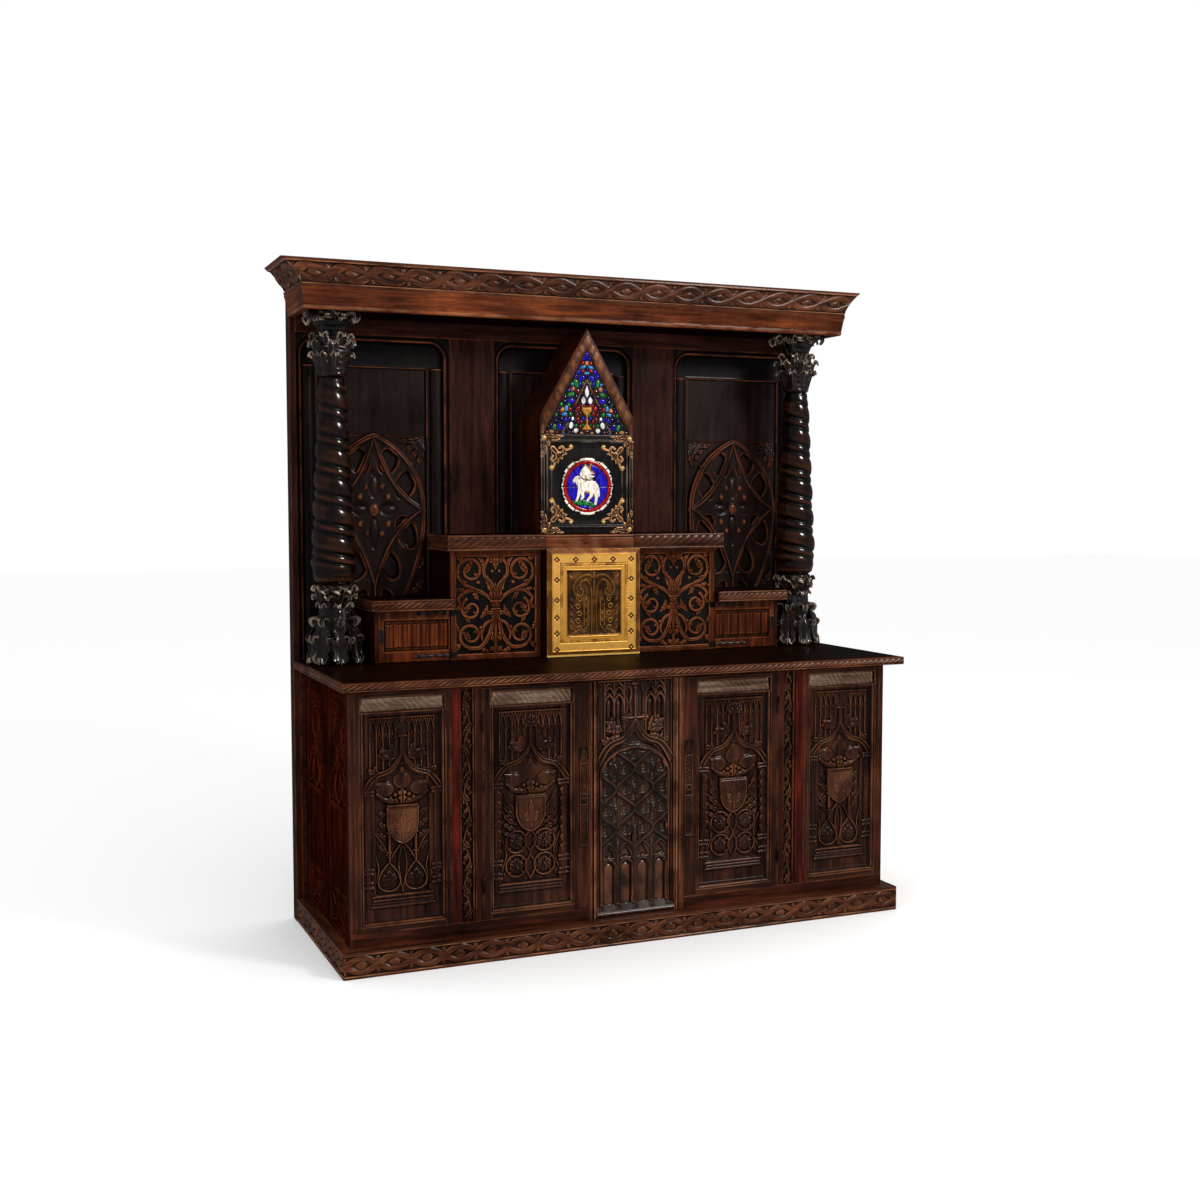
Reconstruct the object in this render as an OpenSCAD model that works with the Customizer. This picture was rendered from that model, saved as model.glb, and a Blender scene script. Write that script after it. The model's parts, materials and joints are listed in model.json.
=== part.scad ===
// Carved Gothic altar with a panelled back board, twisted columns, a tabernacle and a glazed gable.
// Millimetres, +Z up, the front faces -Y. The origin is on the floor at the middle of the width and depth.

/* [Overall] */
// Width across the top of the cornice
cornice_w = 2380; // [2340:2:2420]
// Height of the top of the cornice above the floor
total_h = 2452; // [2448:1:2500]
// Depth from the front edge of the table top to the rear face
depth = 842; // [836:1:860]
// Width of the table top, the plinth and the back board
table_w = 2200; // [2180:2:2220]
// Height of the table top above the floor
table_h = 1000; // [990:1:1004]

/* [Plinth and cabinet] */
// Height of the plinth
plinth_h = 91; // [80:1:95]
// How far the plinth stands in front of the cabinet
plinth_step = 54; // [40:1:60]
// Width of the plinth's side boards
plinth_side_w = 80; // [76:1:90]
// Width of the cabinet
cabinet_w = 2116; // [2104:2:2124]
// How far the table top overhangs the cabinet's front
front_overhang = 78; // [70:1:90]
// Thickness of the table top
table_t = 30; // [26:1:34]
// Thickness of the cabinet's frames
frame_t = 28; // [26:1:30]
// Thickness of the floor, the partitions and the shelves
board_t = 18; // [16:1:20]
// Thickness of the panels in the frames
panel_t = 14; // [12:1:14]
// Depth of the carving that stands on the panels
carving_t = 10; // [6:1:12]
// Height of the rail under the bays
bottom_rail_h = 44; // [40:1:48]
// Height of the rail above the bays
top_rail_h = 15; // [12:1:16]
// Height of a shelf's underside above the floor
shelf_z = 520; // [420:5:560]

/* [Bays] */
// Half the width of the middle panel
centre_half = 154; // [150:1:158]
// Width of the stiles beside the middle panel
centre_stile_w = 36; // [34:1:38]
// Width of each door opening
door_opening_w = 398; // [390:1:400]
// Width of the stile that the doors hang on
hinge_stile_w = 27; // [25:1:29]
// Width of the carved vine strips
vine_w = 52; // [48:1:54]
// Width of the stile outside each vine strip
outer_stile_w = 37; // [34:1:38]
// Width of the corner stiles
corner_stile_w = 18; // [16:1:20]
// Width of the moulded frame round each bay
moulding_w = 18; // [16:1:20]
// Width of the doors' lock stiles
lock_stile_w = 54; // [50:1:58]
// Clearance round each door
door_gap = 2; // [1.8:0.1:2.4]

/* [Back board] */
// Thickness of the back board
back_t = 64; // [60:1:68]
// Width of the outer stiles
back_stile_w = 23; // [20:1:26]
// Half the width of the middle panel
mid_panel_half = 300; // [290:1:310]
// Width of the mullions
mullion_w = 180; // [170:1:190]
// Height of the underside of the top rail
back_rail_z = 2226; // [2200:1:2240]
// Depth of the panels behind the front face
panel_recess = 34; // [28:1:38]
// Length of the cut corners at the top of each panel
corner_cut = 47; // [30:1:60]
// Height of the widest point of the almond tracery above the table
almond_mid = 565; // [540:1:590]
// Half the width of the almond tracery
almond_half = 195; // [180:1:200]
// Height of the almond above its widest point
almond_rise = 281; // [260:1:300]
// Length of the almond below its widest point
almond_drop = 455; // [440:1:470]

/* [Columns] */
// Distance of the column axes from the middle
column_x = 977; // [970:1:984]
// Distance of the column axes in front of the back board
column_reach = 155; // [145:1:165]
// Height of a column's base
base_h = 295; // [290:1:300]
// Height of a column's capital
capital_h = 235; // [230:1:240]
// Radius of the shaft at its foot
shaft_r0 = 86; // [80:1:88]
// Radius of the shaft at its neck
shaft_r1 = 50; // [46:1:54]

/* [Cornice] */
// Height of the frieze
frieze_h = 96; // [90:1:100]
// Height of the fascia
fascia_h = 79; // [76:1:82]
// Thickness of the cornice boards
cornice_t = 25; // [22:1:28]
// Reach of the cornice's top edge in front of the back board
cornice_reach = 315; // [310:1:320]

/* [Gradine and side boxes] */
// Width of the gradine's top board
gradine_w = 1158; // [1150:2:1166]
// Height of the gradine's box
gradine_h = 412; // [406:1:418]
// Thickness of the gradine's top board
gradine_top_t = 60; // [54:1:62]
// Reach of the gradine's grilles in front of the back board
gradine_reach = 239; // [236:1:244]
// Width of the side boxes
box_w = 292.5; // [288:0.5:296]
// Height of the side boxes
box_h = 195; // [190:1:200]
// Thickness of the side boxes' tops
box_top_t = 41; // [36:1:44]
// Thickness of the side boxes' doors
box_door_t = 18; // [16:1:20]

/* [Tabernacle and gable] */
// Half the width of the tabernacle
tab_half = 195; // [190:1:198]
// Reach of the tabernacle's front edge in front of the back board
tab_reach = 287; // [284:1:290]
// Thickness of the tabernacle's door core
tab_door_t = 12; // [10:1:12]
// Thickness of the metal on the tabernacle's door
tab_metal_t = 8; // [6:1:8]
// Width of the door's metal border
tab_border_w = 65; // [60:1:70]
// Height of the gable's shoulders above the gradine
shoulder_h = 454; // [440:1:460]
// Height of the gable's apex above the gradine
apex_h = 792; // [780:1:800]
// Radius of the medallion
medallion_r = 112; // [100:1:118]

/* [Hinges and locks] */
// Radius of the pins in the cabinet and tabernacle hinges
pin_r = 2; // [1.8:0.1:2.2]
// Radius of the knuckles of those hinges
knuckle_r = 4.5; // [4.2:0.1:4.8]
// Height of one knuckle
knuckle_h = 20; // [16:1:24]
// Running clearance round a pin
pin_play = 0.05; // [0.02:0.01:0.08]
// How far each lock's bolt moves
bolt_throw = 8; // [6:0.5:8]

/* [Hidden] */
$fn = 48;
seam = 0.4; // open line between neighbouring boards of one node
small = 0.5; // clearance along a moving piece
board_y = depth / 2 - back_t; // front face of the back board
table_reach = depth - back_t;
cabinet_reach = table_reach - front_overhang;
plinth_reach = cabinet_reach + plinth_step;
cabinet_half = cabinet_w / 2;
table_half = table_w / 2;
frame_back = cabinet_reach - frame_t; // reach of the frames' rear face
inner_half = cabinet_half - frame_t;
table_z = table_h - table_t; // underside of the table top
slab_joint = tab_reach + 28; // reach of the joint between the table top's two boards
panel_front = frame_back + panel_t; // reach of the panels' front face
carving_front = panel_front + carving_t;
open_z = [plinth_h + bottom_rail_h, table_z - top_rail_h]; // height of the bays
x_centre = centre_half + centre_stile_w;
x_hinge = x_centre + door_opening_w;
x_vine = [x_hinge + hinge_stile_w, x_hinge + hinge_stile_w + vine_w];
x_bay = [x_vine[1] + outer_stile_w, cabinet_half - corner_stile_w];
door_x = [x_centre + door_gap, x_hinge - door_gap];
door_z = [open_z[0] + door_gap, open_z[1] - door_gap];
door_panel_x = [door_x[0] + lock_stile_w, door_x[1] - moulding_w];
door_panel_z = [door_z[0] + moulding_w, door_z[1] - top_rail_h];
bay_panel_x = [x_bay[0] + moulding_w, x_bay[1] - moulding_w];
bay_panel_z = [open_z[0] + 20, open_z[1] - top_rail_h];
centre_panel_reach = [frame_back - 4, panel_front - 4];
divider_x = [160, 178];
side_stiles = [[0, 42], [292, 396], [642, frame_back]]; // reaches of the stiles in the side frames
side_rails = [[plinth_h, plinth_h + 12], [900, table_z]];
back_top = total_h - 12;
wide_panel = [mid_panel_half + mullion_w, table_half - back_stile_w];
fascia_z = total_h - frieze_h - fascia_h;
frieze_z = total_h - frieze_h;
frieze_half = [cornice_w / 2 - 72, cornice_w / 2];
fascia_half = [frieze_half[0] - 13, frieze_half[0]];
frieze_front = [cornice_reach - 9, cornice_reach];
fascia_front = [frieze_front[0] - 10, frieze_front[0]];
soffit_z = fascia_z + 8; // the capitals end here
gradine_z = table_h + gradine_h;
tower_z = gradine_z + gradine_top_t;
gradine_half = gradine_w / 2;
gradine_edge = 14; // thickness of the carved edge strips
gradine_box = gradine_half - 23; // half the width of the gradine's box
grille_t = 14;
fascia_open = 186.5; // half the width of the plain part in the gradine's edge
box_x = [gradine_box, gradine_box + box_w];
box_reach = gradine_reach - 2;
box_wall = 12;
box_axis = [box_x[0] + 1, gradine_reach + 3.5]; // x and reach of the box doors' hinge axis
box_door_x = [box_x[0] + 3.5, box_x[1] - box_wall - door_gap];
box_door_z = [table_h + 2, table_h + box_h - 2];
strap_z = [table_h + 22, table_h + 182]; // heights of the strap hinges
strap_h = 21;
strap_pin_r = 1.8;
strap_knuckle_r = 3.5;
tab_wall = 12;
leaf_t = 2.5; // thickness of the tabernacle's hinge leaves
thin_leaf_t = 0.8; // thickness of the cabinet's hinge leaves
tab_door_z = [table_h + 2, gradine_z + 5];
tab_back = tab_reach + 1; // reach of the door's rear face
tab_face = tab_back + tab_door_t; // reach of the metal's rear face
tab_axis = [tab_half + 5, tab_back]; // x and reach of the tabernacle's hinge axis
cab_axis = [x_hinge - 1, cabinet_reach + 5]; // x and reach of the cabinet doors' hinge axis
cab_hinge_z = [230, 800];
tab_hinge_z = [table_h + 70, table_h + 290];
lock_z = 540;
tab_lock_z = table_h + 210;
box_lock_z = table_h + 100;
bolt = [30, 6, 16]; // length, thickness and height of a bolt
bolt_depth = 4; // distance of a bolt behind its door
pocket_depth = bolt_throw + 1;
tower_front = 240; // reach of the gable's front
tower_skin = 14;
tower_wall = 12;
shoulder_z = tower_z + shoulder_h;
apex_z = tower_z + apex_h;
pane_z = [tower_z + 384, tower_z + 709]; // base and apex of the leaded glass
pane_half = 181;
medallion_z = tower_z + 184;
colonette_r = 9;
shaft_z = [table_h + base_h, soffit_z - capital_h];

// ---- Helpers -------------------------------------------------------------------------------

// A board given by its ranges in x, in reach in front of the back board, and in z
module board(x, reach, z) {
    translate([x[0], board_y - reach[1], z[0]])
        cube([x[1] - x[0], reach[1] - reach[0], z[1] - z[0]]);
}

// A piece on the right and its twin on the left
module both_sides() {
    children();
    mirror([1, 0, 0]) children();
}

// A flat outline in x and z, standing between two reaches
module upright(reach) {
    translate([0, board_y - reach[0], 0]) rotate([90, 0, 0])
        linear_extrude(reach[1] - reach[0]) children();
}

// An outline in reach and z, drawn along x
module along_x(x) {
    translate([x[0], board_y, 0]) rotate([90, 0, 90]) mirror([1, 0])
        linear_extrude(x[1] - x[0]) children();
}

// A round piece on an upright axis
module post(axis, z, r) {
    translate([axis[0], board_y - axis[1], z[0]]) cylinder(h = z[1] - z[0], r = r);
}

// Four boards round an opening: the outer x and z ranges and the opening's
module frame_of(outer_x, outer_z, inner_x, inner_z, reach) {
    board([outer_x[0], inner_x[0]], reach, outer_z);
    board([inner_x[1], outer_x[1]], reach, outer_z);
    board([inner_x[0] + seam, inner_x[1] - seam], reach, [outer_z[0], inner_z[0]]);
    board([inner_x[0] + seam, inner_x[1] - seam], reach, [inner_z[1], outer_z[1]]);
}

// Reaches of a bolt behind a door whose rear face is at reach, with room round it
function bolt_reach(reach, room) = [reach - bolt_depth - bolt[1] - room, reach - bolt_depth + room];

// Half of an ogee curve, from the shoulder up to the apex
function ogee(half, rise, n = 14) =
    [for (i = [0:n]) let (t = i / n) [half * (1 - t), rise * (t + 0.75 * sin(360 * t) / (2 * PI))]];

// One quarter of a pointed almond, from its widest point to its tip
function almond_side(half, length, n = 16) =
    let (r = (length * length + half * half) / (2 * half), a = asin(length / r))
    [for (i = [0:n]) [r * cos(a * i / n) - (r - half), r * sin(a * i / n)]];

// A closed almond outline
module almond(half, rise, drop) {
    top = almond_side(half, rise);
    low = almond_side(half, drop);
    polygon(concat(
        [for (p = top) p],
        [for (i = [len(top) - 2:-1:0]) [-top[i][0], top[i][1]]],
        [for (i = [1:len(low) - 1]) [-low[i][0], -low[i][1]]],
        [for (i = [len(low) - 2:-1:1]) [low[i][0], -low[i][1]]]));
}

// A star with four hollow sides and a point at each end of its axes
module hollow_star(half, rise, drop) {
    difference() {
        polygon([[half, 0], [0, rise], [-half, 0], [0, -drop]]);
        for (sx = [-1, 1], end = [rise, -drop])
            translate([sx * half * 0.86, end * 0.66]) scale(0.01) circle(r = abs(end) * 52);
    }
}

// ---- Plinth and cabinet --------------------------------------------------------------------

module plinth_boards() {
    side_front = plinth_reach - 60;
    color([0.33, 0.19, 0.12]) {
        board([-table_half, table_half], [side_front, plinth_reach], [0, plinth_h]);
        both_sides() {
            board([table_half - plinth_side_w, table_half], [0, side_front - seam], [0, plinth_h]);
            board([divider_x[0] - 6, divider_x[1] + 6], [0, side_front - seam], [0, plinth_h]);
        }
    }
}

module cabinet_partitions() {
    floor_top = plinth_h + board_t;
    color([0.2, 0.11, 0.07]) {
        board([-inner_half, inner_half], [0, frame_back], [plinth_h, floor_top]);
        both_sides() board(divider_x, [0, frame_back - panel_t], [floor_top + seam, table_z]);
    }
}

module cupboard_shelves() {
    color([0.22, 0.12, 0.08])
        both_sides() board([divider_x[1], inner_half], [0, frame_back - 32], [shelf_z, shelf_z + board_t]);
}

module front_frame() {
    reach = [frame_back, cabinet_reach];
    stile_z = [open_z[0] + seam, open_z[1] - seam];
    color([0.42, 0.1, 0.06]) {
        board([-cabinet_half, cabinet_half], reach, [open_z[1], table_z]);
        both_sides() {
            board([x_centre, cabinet_half], reach, [plinth_h, open_z[0]]);
            board([x_hinge, x_vine[0]], reach, stile_z);
            board([x_vine[1], x_bay[0]], reach, stile_z);
            board([x_bay[1], cabinet_half], reach, stile_z);
        }
    }
}

module vine_strips() {
    color([0.24, 0.12, 0.07])
        both_sides() board(x_vine, [frame_back, cabinet_reach - 6], open_z);
}

module outer_bay_frames() {
    color([0.3, 0.13, 0.07])
        both_sides() frame_of(x_bay, open_z, bay_panel_x, bay_panel_z, [frame_back, cabinet_reach]);
}

module outer_bay_panels() {
    color([0.27, 0.13, 0.08])
        both_sides() board(bay_panel_x, [frame_back, panel_front], bay_panel_z);
}

// An ogee arch on pilasters over a shield, as flat relief centred on x
module arch_relief(x, half, shoulder, rise) {
    curve = ogee(half, rise);
    band = 18;
    shield_half = 54;
    upright([panel_front, carving_front]) translate([x, 0]) {
        translate([0, shoulder]) for (s = [-1, 1])
            polygon(concat([for (p = curve) [s * p[0], p[1]]],
                [for (i = [len(curve) - 1:-1:0]) [s * curve[i][0], curve[i][1] - band]]));
        for (s = [-1, 1]) translate([s * (half - 14) - 14, 286]) square([28, shoulder - 286]);
        translate([-half + 34, 219]) square([2 * half - 68, 32]);
        translate([-shield_half, 480]) square([2 * shield_half, 74]);
        polygon([[-shield_half, 480], [-shield_half * 0.8, 454], [0, 432], [shield_half * 0.8, 454],
            [shield_half, 480]]);
        translate([-6, shoulder + rise - 10]) square([12, 100]);
    }
}

module bay_carvings() {
    bay_mid = (x_bay[0] + x_bay[1]) / 2;
    color([0.29, 0.15, 0.09]) both_sides() arch_relief(bay_mid, 137, 620, 125);
    color([0.2, 0.17, 0.15]) {
        curve = ogee(centre_half - 6, 153);
        upright([centre_panel_reach[1], centre_panel_reach[1] + carving_t]) {
            for (s = [-1, 1])
                polygon(concat([for (p = curve) [s * p[0], p[1] + 656]],
                    [for (i = [len(curve) - 1:-1:0]) [s * curve[i][0], curve[i][1] + 638]]));
            translate([-5, 800]) square([10, 144]);
        }
        for (i = [-1.5:1:1.5]) post([i * 72, centre_panel_reach[1] + colonette_r], [133, 297], colonette_r);
    }
}

module centre_frame() {
    sill = [[cabinet_reach, 0], [cabinet_reach, 6], [centre_panel_reach[1], 39], [centre_panel_reach[1], 0]];
    color([0.25, 0.13, 0.09]) {
        both_sides() board([centre_half, x_centre], [frame_back, cabinet_reach], [plinth_h, open_z[1]]);
        along_x([seam - centre_half, centre_half - seam])
            translate([0, plinth_h]) polygon(sill);
    }
}

module centre_panel() {
    color([0.18, 0.15, 0.13])
        board([-centre_half, centre_half], centre_panel_reach, [plinth_h + board_t, open_z[1]]);
}

module side_frames() {
    color([0.3, 0.11, 0.06]) both_sides() {
        for (s = side_stiles) board([inner_half, cabinet_half], s, [plinth_h, table_z]);
        for (i = [0, 1], z = side_rails)
            board([inner_half, cabinet_half], [side_stiles[i][1] + seam, side_stiles[i + 1][0] - seam], z);
    }
}

module side_panels() {
    color([0.23, 0.1, 0.06]) both_sides() for (i = [0, 1])
        board([inner_half + 4, inner_half + 16], [side_stiles[i][1], side_stiles[i + 1][0]],
            [side_rails[0][1], side_rails[1][0]]);
}

module table_top() {
    color([0.14, 0.07, 0.05]) {
        board([-table_half, table_half], [0, slab_joint - seam], [table_z, table_h]);
        board([-table_half, table_half], [slab_joint, table_reach], [table_z, table_h]);
    }
}

// ---- Back board ----------------------------------------------------------------------------

// The cut corner at the top outer end of an opening that spans x
module corner_block(x, side) {
    upright([-panel_recess, 0]) polygon([[x + side * seam, back_rail_z - seam],
        [x + side * corner_cut, back_rail_z - seam], [x + side * seam, back_rail_z - corner_cut]]);
}

module back_frame() {
    reach = [-back_t, 0];
    mullion = [mid_panel_half, mid_panel_half + mullion_w];
    color([0.19, 0.11, 0.1]) {
        both_sides() {
            board([table_half - back_stile_w, table_half], reach, [0, back_top]);
            board(mullion, reach, [0, back_top]);
            board([wide_panel[0] + seam, wide_panel[1] - seam], reach, [0, table_h]);
            board([wide_panel[0] + seam, wide_panel[1] - seam], reach, [back_rail_z, back_top]);
            corner_block(mid_panel_half, -1);
            corner_block(wide_panel[0], 1);
            corner_block(wide_panel[1], -1);
        }
        middle = [seam - mid_panel_half, mid_panel_half - seam];
        board(middle, reach, [0, table_h]);
        board(middle, reach, [back_rail_z, back_top]);
    }
}

module back_panels() {
    reach = [-panel_recess - panel_t, -panel_recess];
    color([0.15, 0.1, 0.11]) {
        both_sides() board(wide_panel, reach, [table_h, back_rail_z]);
        board([-mid_panel_half, mid_panel_half], reach, [table_h, back_rail_z]);
    }
}

module almond_tracery() {
    band = 14;
    mid = (wide_panel[0] + wide_panel[1]) / 2;
    color([0.17, 0.12, 0.12]) both_sides()
        upright([-panel_recess, -panel_recess + 22]) translate([mid, table_h + almond_mid]) {
            difference() {
                almond(almond_half, almond_rise, almond_drop);
                almond(almond_half - band, almond_rise - 2 * band, almond_drop - 3 * band);
            }
            hollow_star(almond_half - band / 2, almond_rise - band, 300);
            translate([-band / 2, 60 - almond_drop]) square([band, almond_drop - 200]);
        }
}

// ---- Columns -------------------------------------------------------------------------------

module turned(profile, z) {
    both_sides() translate([column_x, board_y - column_reach, z])
        rotate_extrude() polygon(concat([[0, profile[0][1]]], profile, [[0, profile[len(profile) - 1][1]]]));
}

module column_bases() {
    color([0.13, 0.07, 0.05]) turned([[108, 0], [106, 40], [82, 80], [90, 125], [57, 214], [76, 262],
        [60, base_h]], table_h);
}

module column_shafts() {
    h = shaft_z[1] - shaft_z[0];
    profile = [[56, 0], [78, 10], [shaft_r0, 28], [shaft_r1, h - 4], [46, h]];
    color([0.08, 0.04, 0.03]) turned(profile, shaft_z[0]);
}

module column_capitals() {
    color([0.13, 0.07, 0.05]) turned([[48, 0], [54, 24], [78, 105], [46, 158], [92, 172], [98, 186],
        [98, capital_h]], shaft_z[1]);
}

// ---- Cornice -------------------------------------------------------------------------------

// Front board and two returns of one flaring course, given at its foot and its head
module cornice_course(z, half, front) {
    back = front[0] - cornice_t;
    intersection() {
        along_x([-half[1], half[1]])
            polygon([[front[0], z[0]], [front[1], z[1]], [back, z[1]], [back, z[0]]]);
        upright([0, front[1]])
            polygon([[-half[0], z[0]], [half[0], z[0]], [half[1], z[1]], [-half[1], z[1]]]);
    }
    both_sides() upright([0, back - seam])
        polygon([[half[0] - cornice_t, z[0]], [half[0], z[0]], [half[1], z[1]], [half[1] - cornice_t, z[1]]]);
}

module cornice_frieze() {
    color([0.36, 0.2, 0.13]) cornice_course([frieze_z, total_h], frieze_half, frieze_front);
}

module cornice_fascia() {
    color([0.5, 0.26, 0.13]) cornice_course([fascia_z, frieze_z], fascia_half, fascia_front);
}

module cornice_boards() {
    soffit_half = fascia_half[0] - cornice_t;
    cover_half = frieze_half[1] - cornice_t - 15;
    color([0.12, 0.06, 0.04]) {
        board([-soffit_half, soffit_half], [0, fascia_front[0] - cornice_t], [soffit_z, soffit_z + panel_t]);
        board([-cover_half, cover_half], [0, frieze_front[0] - cornice_t], [total_h - 18, total_h - 8]);
    }
}

// ---- Gradine, grilles and side boxes -------------------------------------------------------

module gradine_top() {
    core_reach = gradine_reach + 24;
    core_half = gradine_half - gradine_edge;
    z = [gradine_z, tower_z];
    color([0.34, 0.19, 0.12]) {
        board([-tab_half, tab_half], [0, core_reach], z);
        both_sides() {
            board([tab_half + seam, core_half], [0, core_reach], z);
            board([fascia_open, gradine_half], [core_reach + seam, core_reach + gradine_edge], z);
            board([core_half + seam, gradine_half], [0, core_reach], z);
        }
    }
}

module gradine_case() {
    back_of_grille = gradine_reach - grille_t;
    end_x = [gradine_box - 16, gradine_box];
    color([0.1, 0.06, 0.05]) both_sides() {
        board(end_x, [0, back_of_grille], [table_h, gradine_z]);
        board([tab_half, end_x[0] - seam], [back_of_grille - 8, back_of_grille], [table_h, gradine_z]);
    }
}

// A flat ring
module hoop(centre, r, w) {
    translate(centre) difference() {
        circle(r = r);
        circle(r = r - w);
    }
}

module scroll_grilles() {
    x = [tab_half + seam, gradine_box];
    border = 22;
    mid = (x[0] + x[1]) / 2;
    rod = 7;
    color([0.36, 0.19, 0.11]) both_sides() upright([gradine_reach - grille_t, gradine_reach]) {
        difference() {
            translate([x[0], table_h]) square([x[1] - x[0], gradine_h]);
            translate([x[0] + border, table_h + border])
                square([x[1] - x[0] - 2 * border, gradine_h - 2 * border]);
        }
        translate([mid - rod, table_h + border - 1]) square([2 * rod, gradine_h - 2 * border + 2]);
        for (s = [-1, 1], row = [[76, 41], [81, 125], [81, 206], [76, 290], [81, 354]])
            hoop([mid + s * row[0], table_h + row[1] + 8], 46, rod);
    }
}

module side_box_tops() {
    z = table_h + box_h;
    color([0.33, 0.18, 0.11])
        both_sides() board([box_x[0], box_x[1] + 21], [0, box_reach + 47], [z, z + box_top_t]);
}

module side_box_cases() {
    case_front = box_reach - box_door_t - 1;
    inner = [box_x[0] + box_wall + seam, box_x[1] - box_wall - seam];
    walls_z = [table_h, table_h + box_h];
    color([0.2, 0.1, 0.06]) both_sides() {
        board([box_x[0], box_x[0] + box_wall], [0, case_front], walls_z);
        difference() {
            board([box_x[1] - box_wall, box_x[1]], [0, box_reach], walls_z);
            board([box_x[1] - box_wall - 1, box_x[1] - box_wall + pocket_depth],
                bolt_reach(box_reach - box_door_t, 1),
                [box_lock_z - bolt[2] / 2 - 1, box_lock_z + bolt[2] / 2 + 1]);
        }
        board(inner, [0, case_front], [table_h, table_h + box_wall]);
        board(inner, [0, box_wall - 2], [table_h + box_wall + seam, table_h + box_h]);
    }
}

// ---- Tabernacle and gable ------------------------------------------------------------------

module tabernacle_box() {
    inner = tab_half - tab_wall - seam;
    z = [table_h, gradine_z];
    color([0.16, 0.08, 0.05]) {
        board([tab_half - tab_wall, tab_half], [0, tab_reach], z);
        difference() {
            board([-tab_half, tab_wall - tab_half], [0, tab_reach], z);
            board([tab_wall - tab_half - pocket_depth, tab_wall + 1 - tab_half], bolt_reach(tab_back, 1),
                [tab_lock_z - bolt[2] / 2 - 1, tab_lock_z + bolt[2] / 2 + 1]);
        }
        board([-inner, inner], [0, tab_reach], [z[0], z[0] + tab_wall]);
        board([-inner, inner], [0, tab_reach], [z[1] - tab_wall, z[1]]);
        board([-inner, inner], [0, tab_wall], [z[0] + tab_wall + seam, z[1] - tab_wall - seam]);
    }
}

module gable_walls() {
    slope = (apex_z - shoulder_z) / tab_half;
    ridge = seam / 2;
    drop = tower_wall * sqrt(1 + slope * slope); // thickness of the roof, measured upright
    color([0.15, 0.07, 0.05]) both_sides() {
        board([tab_half - tower_wall, tab_half], [0, tower_front - tower_skin], [tower_z, shoulder_z - seam]);
        upright([0, tower_front - tower_skin])
            polygon([[tab_half, shoulder_z], [ridge, apex_z - slope * ridge],
                [ridge, apex_z - drop - slope * ridge], [tab_half - drop / slope, shoulder_z]]);
    }
}

module gable_trim() {
    ridge = seam / 2;
    slope = (apex_z - shoulder_z) / tab_half;
    color([0.32, 0.18, 0.12]) both_sides() upright([tower_front - tower_skin, tower_front])
        polygon([[ridge, apex_z - slope * ridge], [tab_half, shoulder_z], [tab_half, pane_z[0]],
            [pane_half, pane_z[0]], [ridge, pane_z[1]]]);
}

module gable_glass() {
    slip = 1; // clearance of the glass in its frame
    color([0.2, 0.15, 0.8]) upright([tower_front - 10, tower_front - 5])
        polygon([[-pane_half + 2 * slip, pane_z[0] + slip], [pane_half - 2 * slip, pane_z[0] + slip],
            [0, pane_z[1] - 2 * slip]]);
}

module medallion_panel() {
    border = 30;
    inner_x = tab_half - border;
    inner_z = [tower_z + border, pane_z[0] - border];
    color([0.14, 0.11, 0.1]) {
        frame_of([-tab_half, tab_half], [tower_z, pane_z[0]], [-inner_x, inner_x], inner_z,
            [tower_front - tower_skin, tower_front]);
        board([seam - inner_x, inner_x - seam], [tower_front - tower_skin, tower_front - 8],
            [inner_z[0] + seam, inner_z[1] - seam]);
    }
}

module medallion() {
    color([0.15, 0.1, 0.75]) translate([0, board_y - tower_front + 8, medallion_z])
        rotate([90, 0, 0]) cylinder(h = 8, r = medallion_r);
}

// ---- Hinges --------------------------------------------------------------------------------

// Fixed half of a butt hinge: two knuckles and the leaf between x0 and x1
module fixed_butt(axis, z, leaf_x, leaf_reach) {
    bore = pin_r + pin_play;
    difference() {
        union() {
            post(axis, [z, z + knuckle_h], knuckle_r);
            post(axis, [z + 2 * knuckle_h, z + 3 * knuckle_h], knuckle_r);
            board(leaf_x, leaf_reach, [z, z + 3 * knuckle_h]);
        }
        post(axis, [z + knuckle_h, z + 2 * knuckle_h], knuckle_r + small);
        post(axis, [z - 1, z + 3 * knuckle_h + 1], bore);
    }
}

// Moving half of a butt hinge: the middle knuckle and its leaf
module moving_butt(axis, z, leaf_x, leaf_reach) {
    bore = pin_r + pin_play;
    middle = [z + knuckle_h + small, z + 2 * knuckle_h - small];
    difference() {
        union() {
            post(axis, middle, knuckle_r);
            board(leaf_x, leaf_reach, middle);
        }
        post(axis, [z, z + 3 * knuckle_h], bore);
    }
}

module hinge_fixed_leaves() {
    color([0.35, 0.3, 0.2]) {
        both_sides() for (z = cab_hinge_z)
            fixed_butt(cab_axis, z, [x_hinge - thin_leaf_t, x_hinge], [cabinet_reach - 22, cab_axis[1]]);
        for (z = tab_hinge_z)
            fixed_butt(tab_axis, z, [tab_half, tab_half + leaf_t], [tab_reach - 25, tab_reach - 1]);
    }
}

module hinge_pins() {
    color([0.45, 0.4, 0.3]) {
        both_sides() for (z = cab_hinge_z) post(cab_axis, [z - 2, z + 3 * knuckle_h + 2], pin_r);
        for (z = tab_hinge_z) post(tab_axis, [z - 2, z + 3 * knuckle_h + 2], pin_r);
    }
}

module box_hinge_pintles() {
    lug = strap_h / 4;
    color([0.08, 0.07, 0.07]) both_sides() for (z = strap_z) {
        low = z - strap_h / 2;
        high = z + strap_h / 2;
        post(box_axis, [low - 1, high + 1], strap_pin_r);
        for (end = [[low, low + lug], [high - lug, high]]) post(box_axis, end, strap_knuckle_r);
        difference() {
            board([box_x[0] - 22, box_axis[0]], [gradine_reach, gradine_reach + 3], [low, high]);
            post(box_axis, [low + lug, high - lug], strap_knuckle_r + small);
        }
    }
}

// ---- Cabinet doors -------------------------------------------------------------------------

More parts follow.
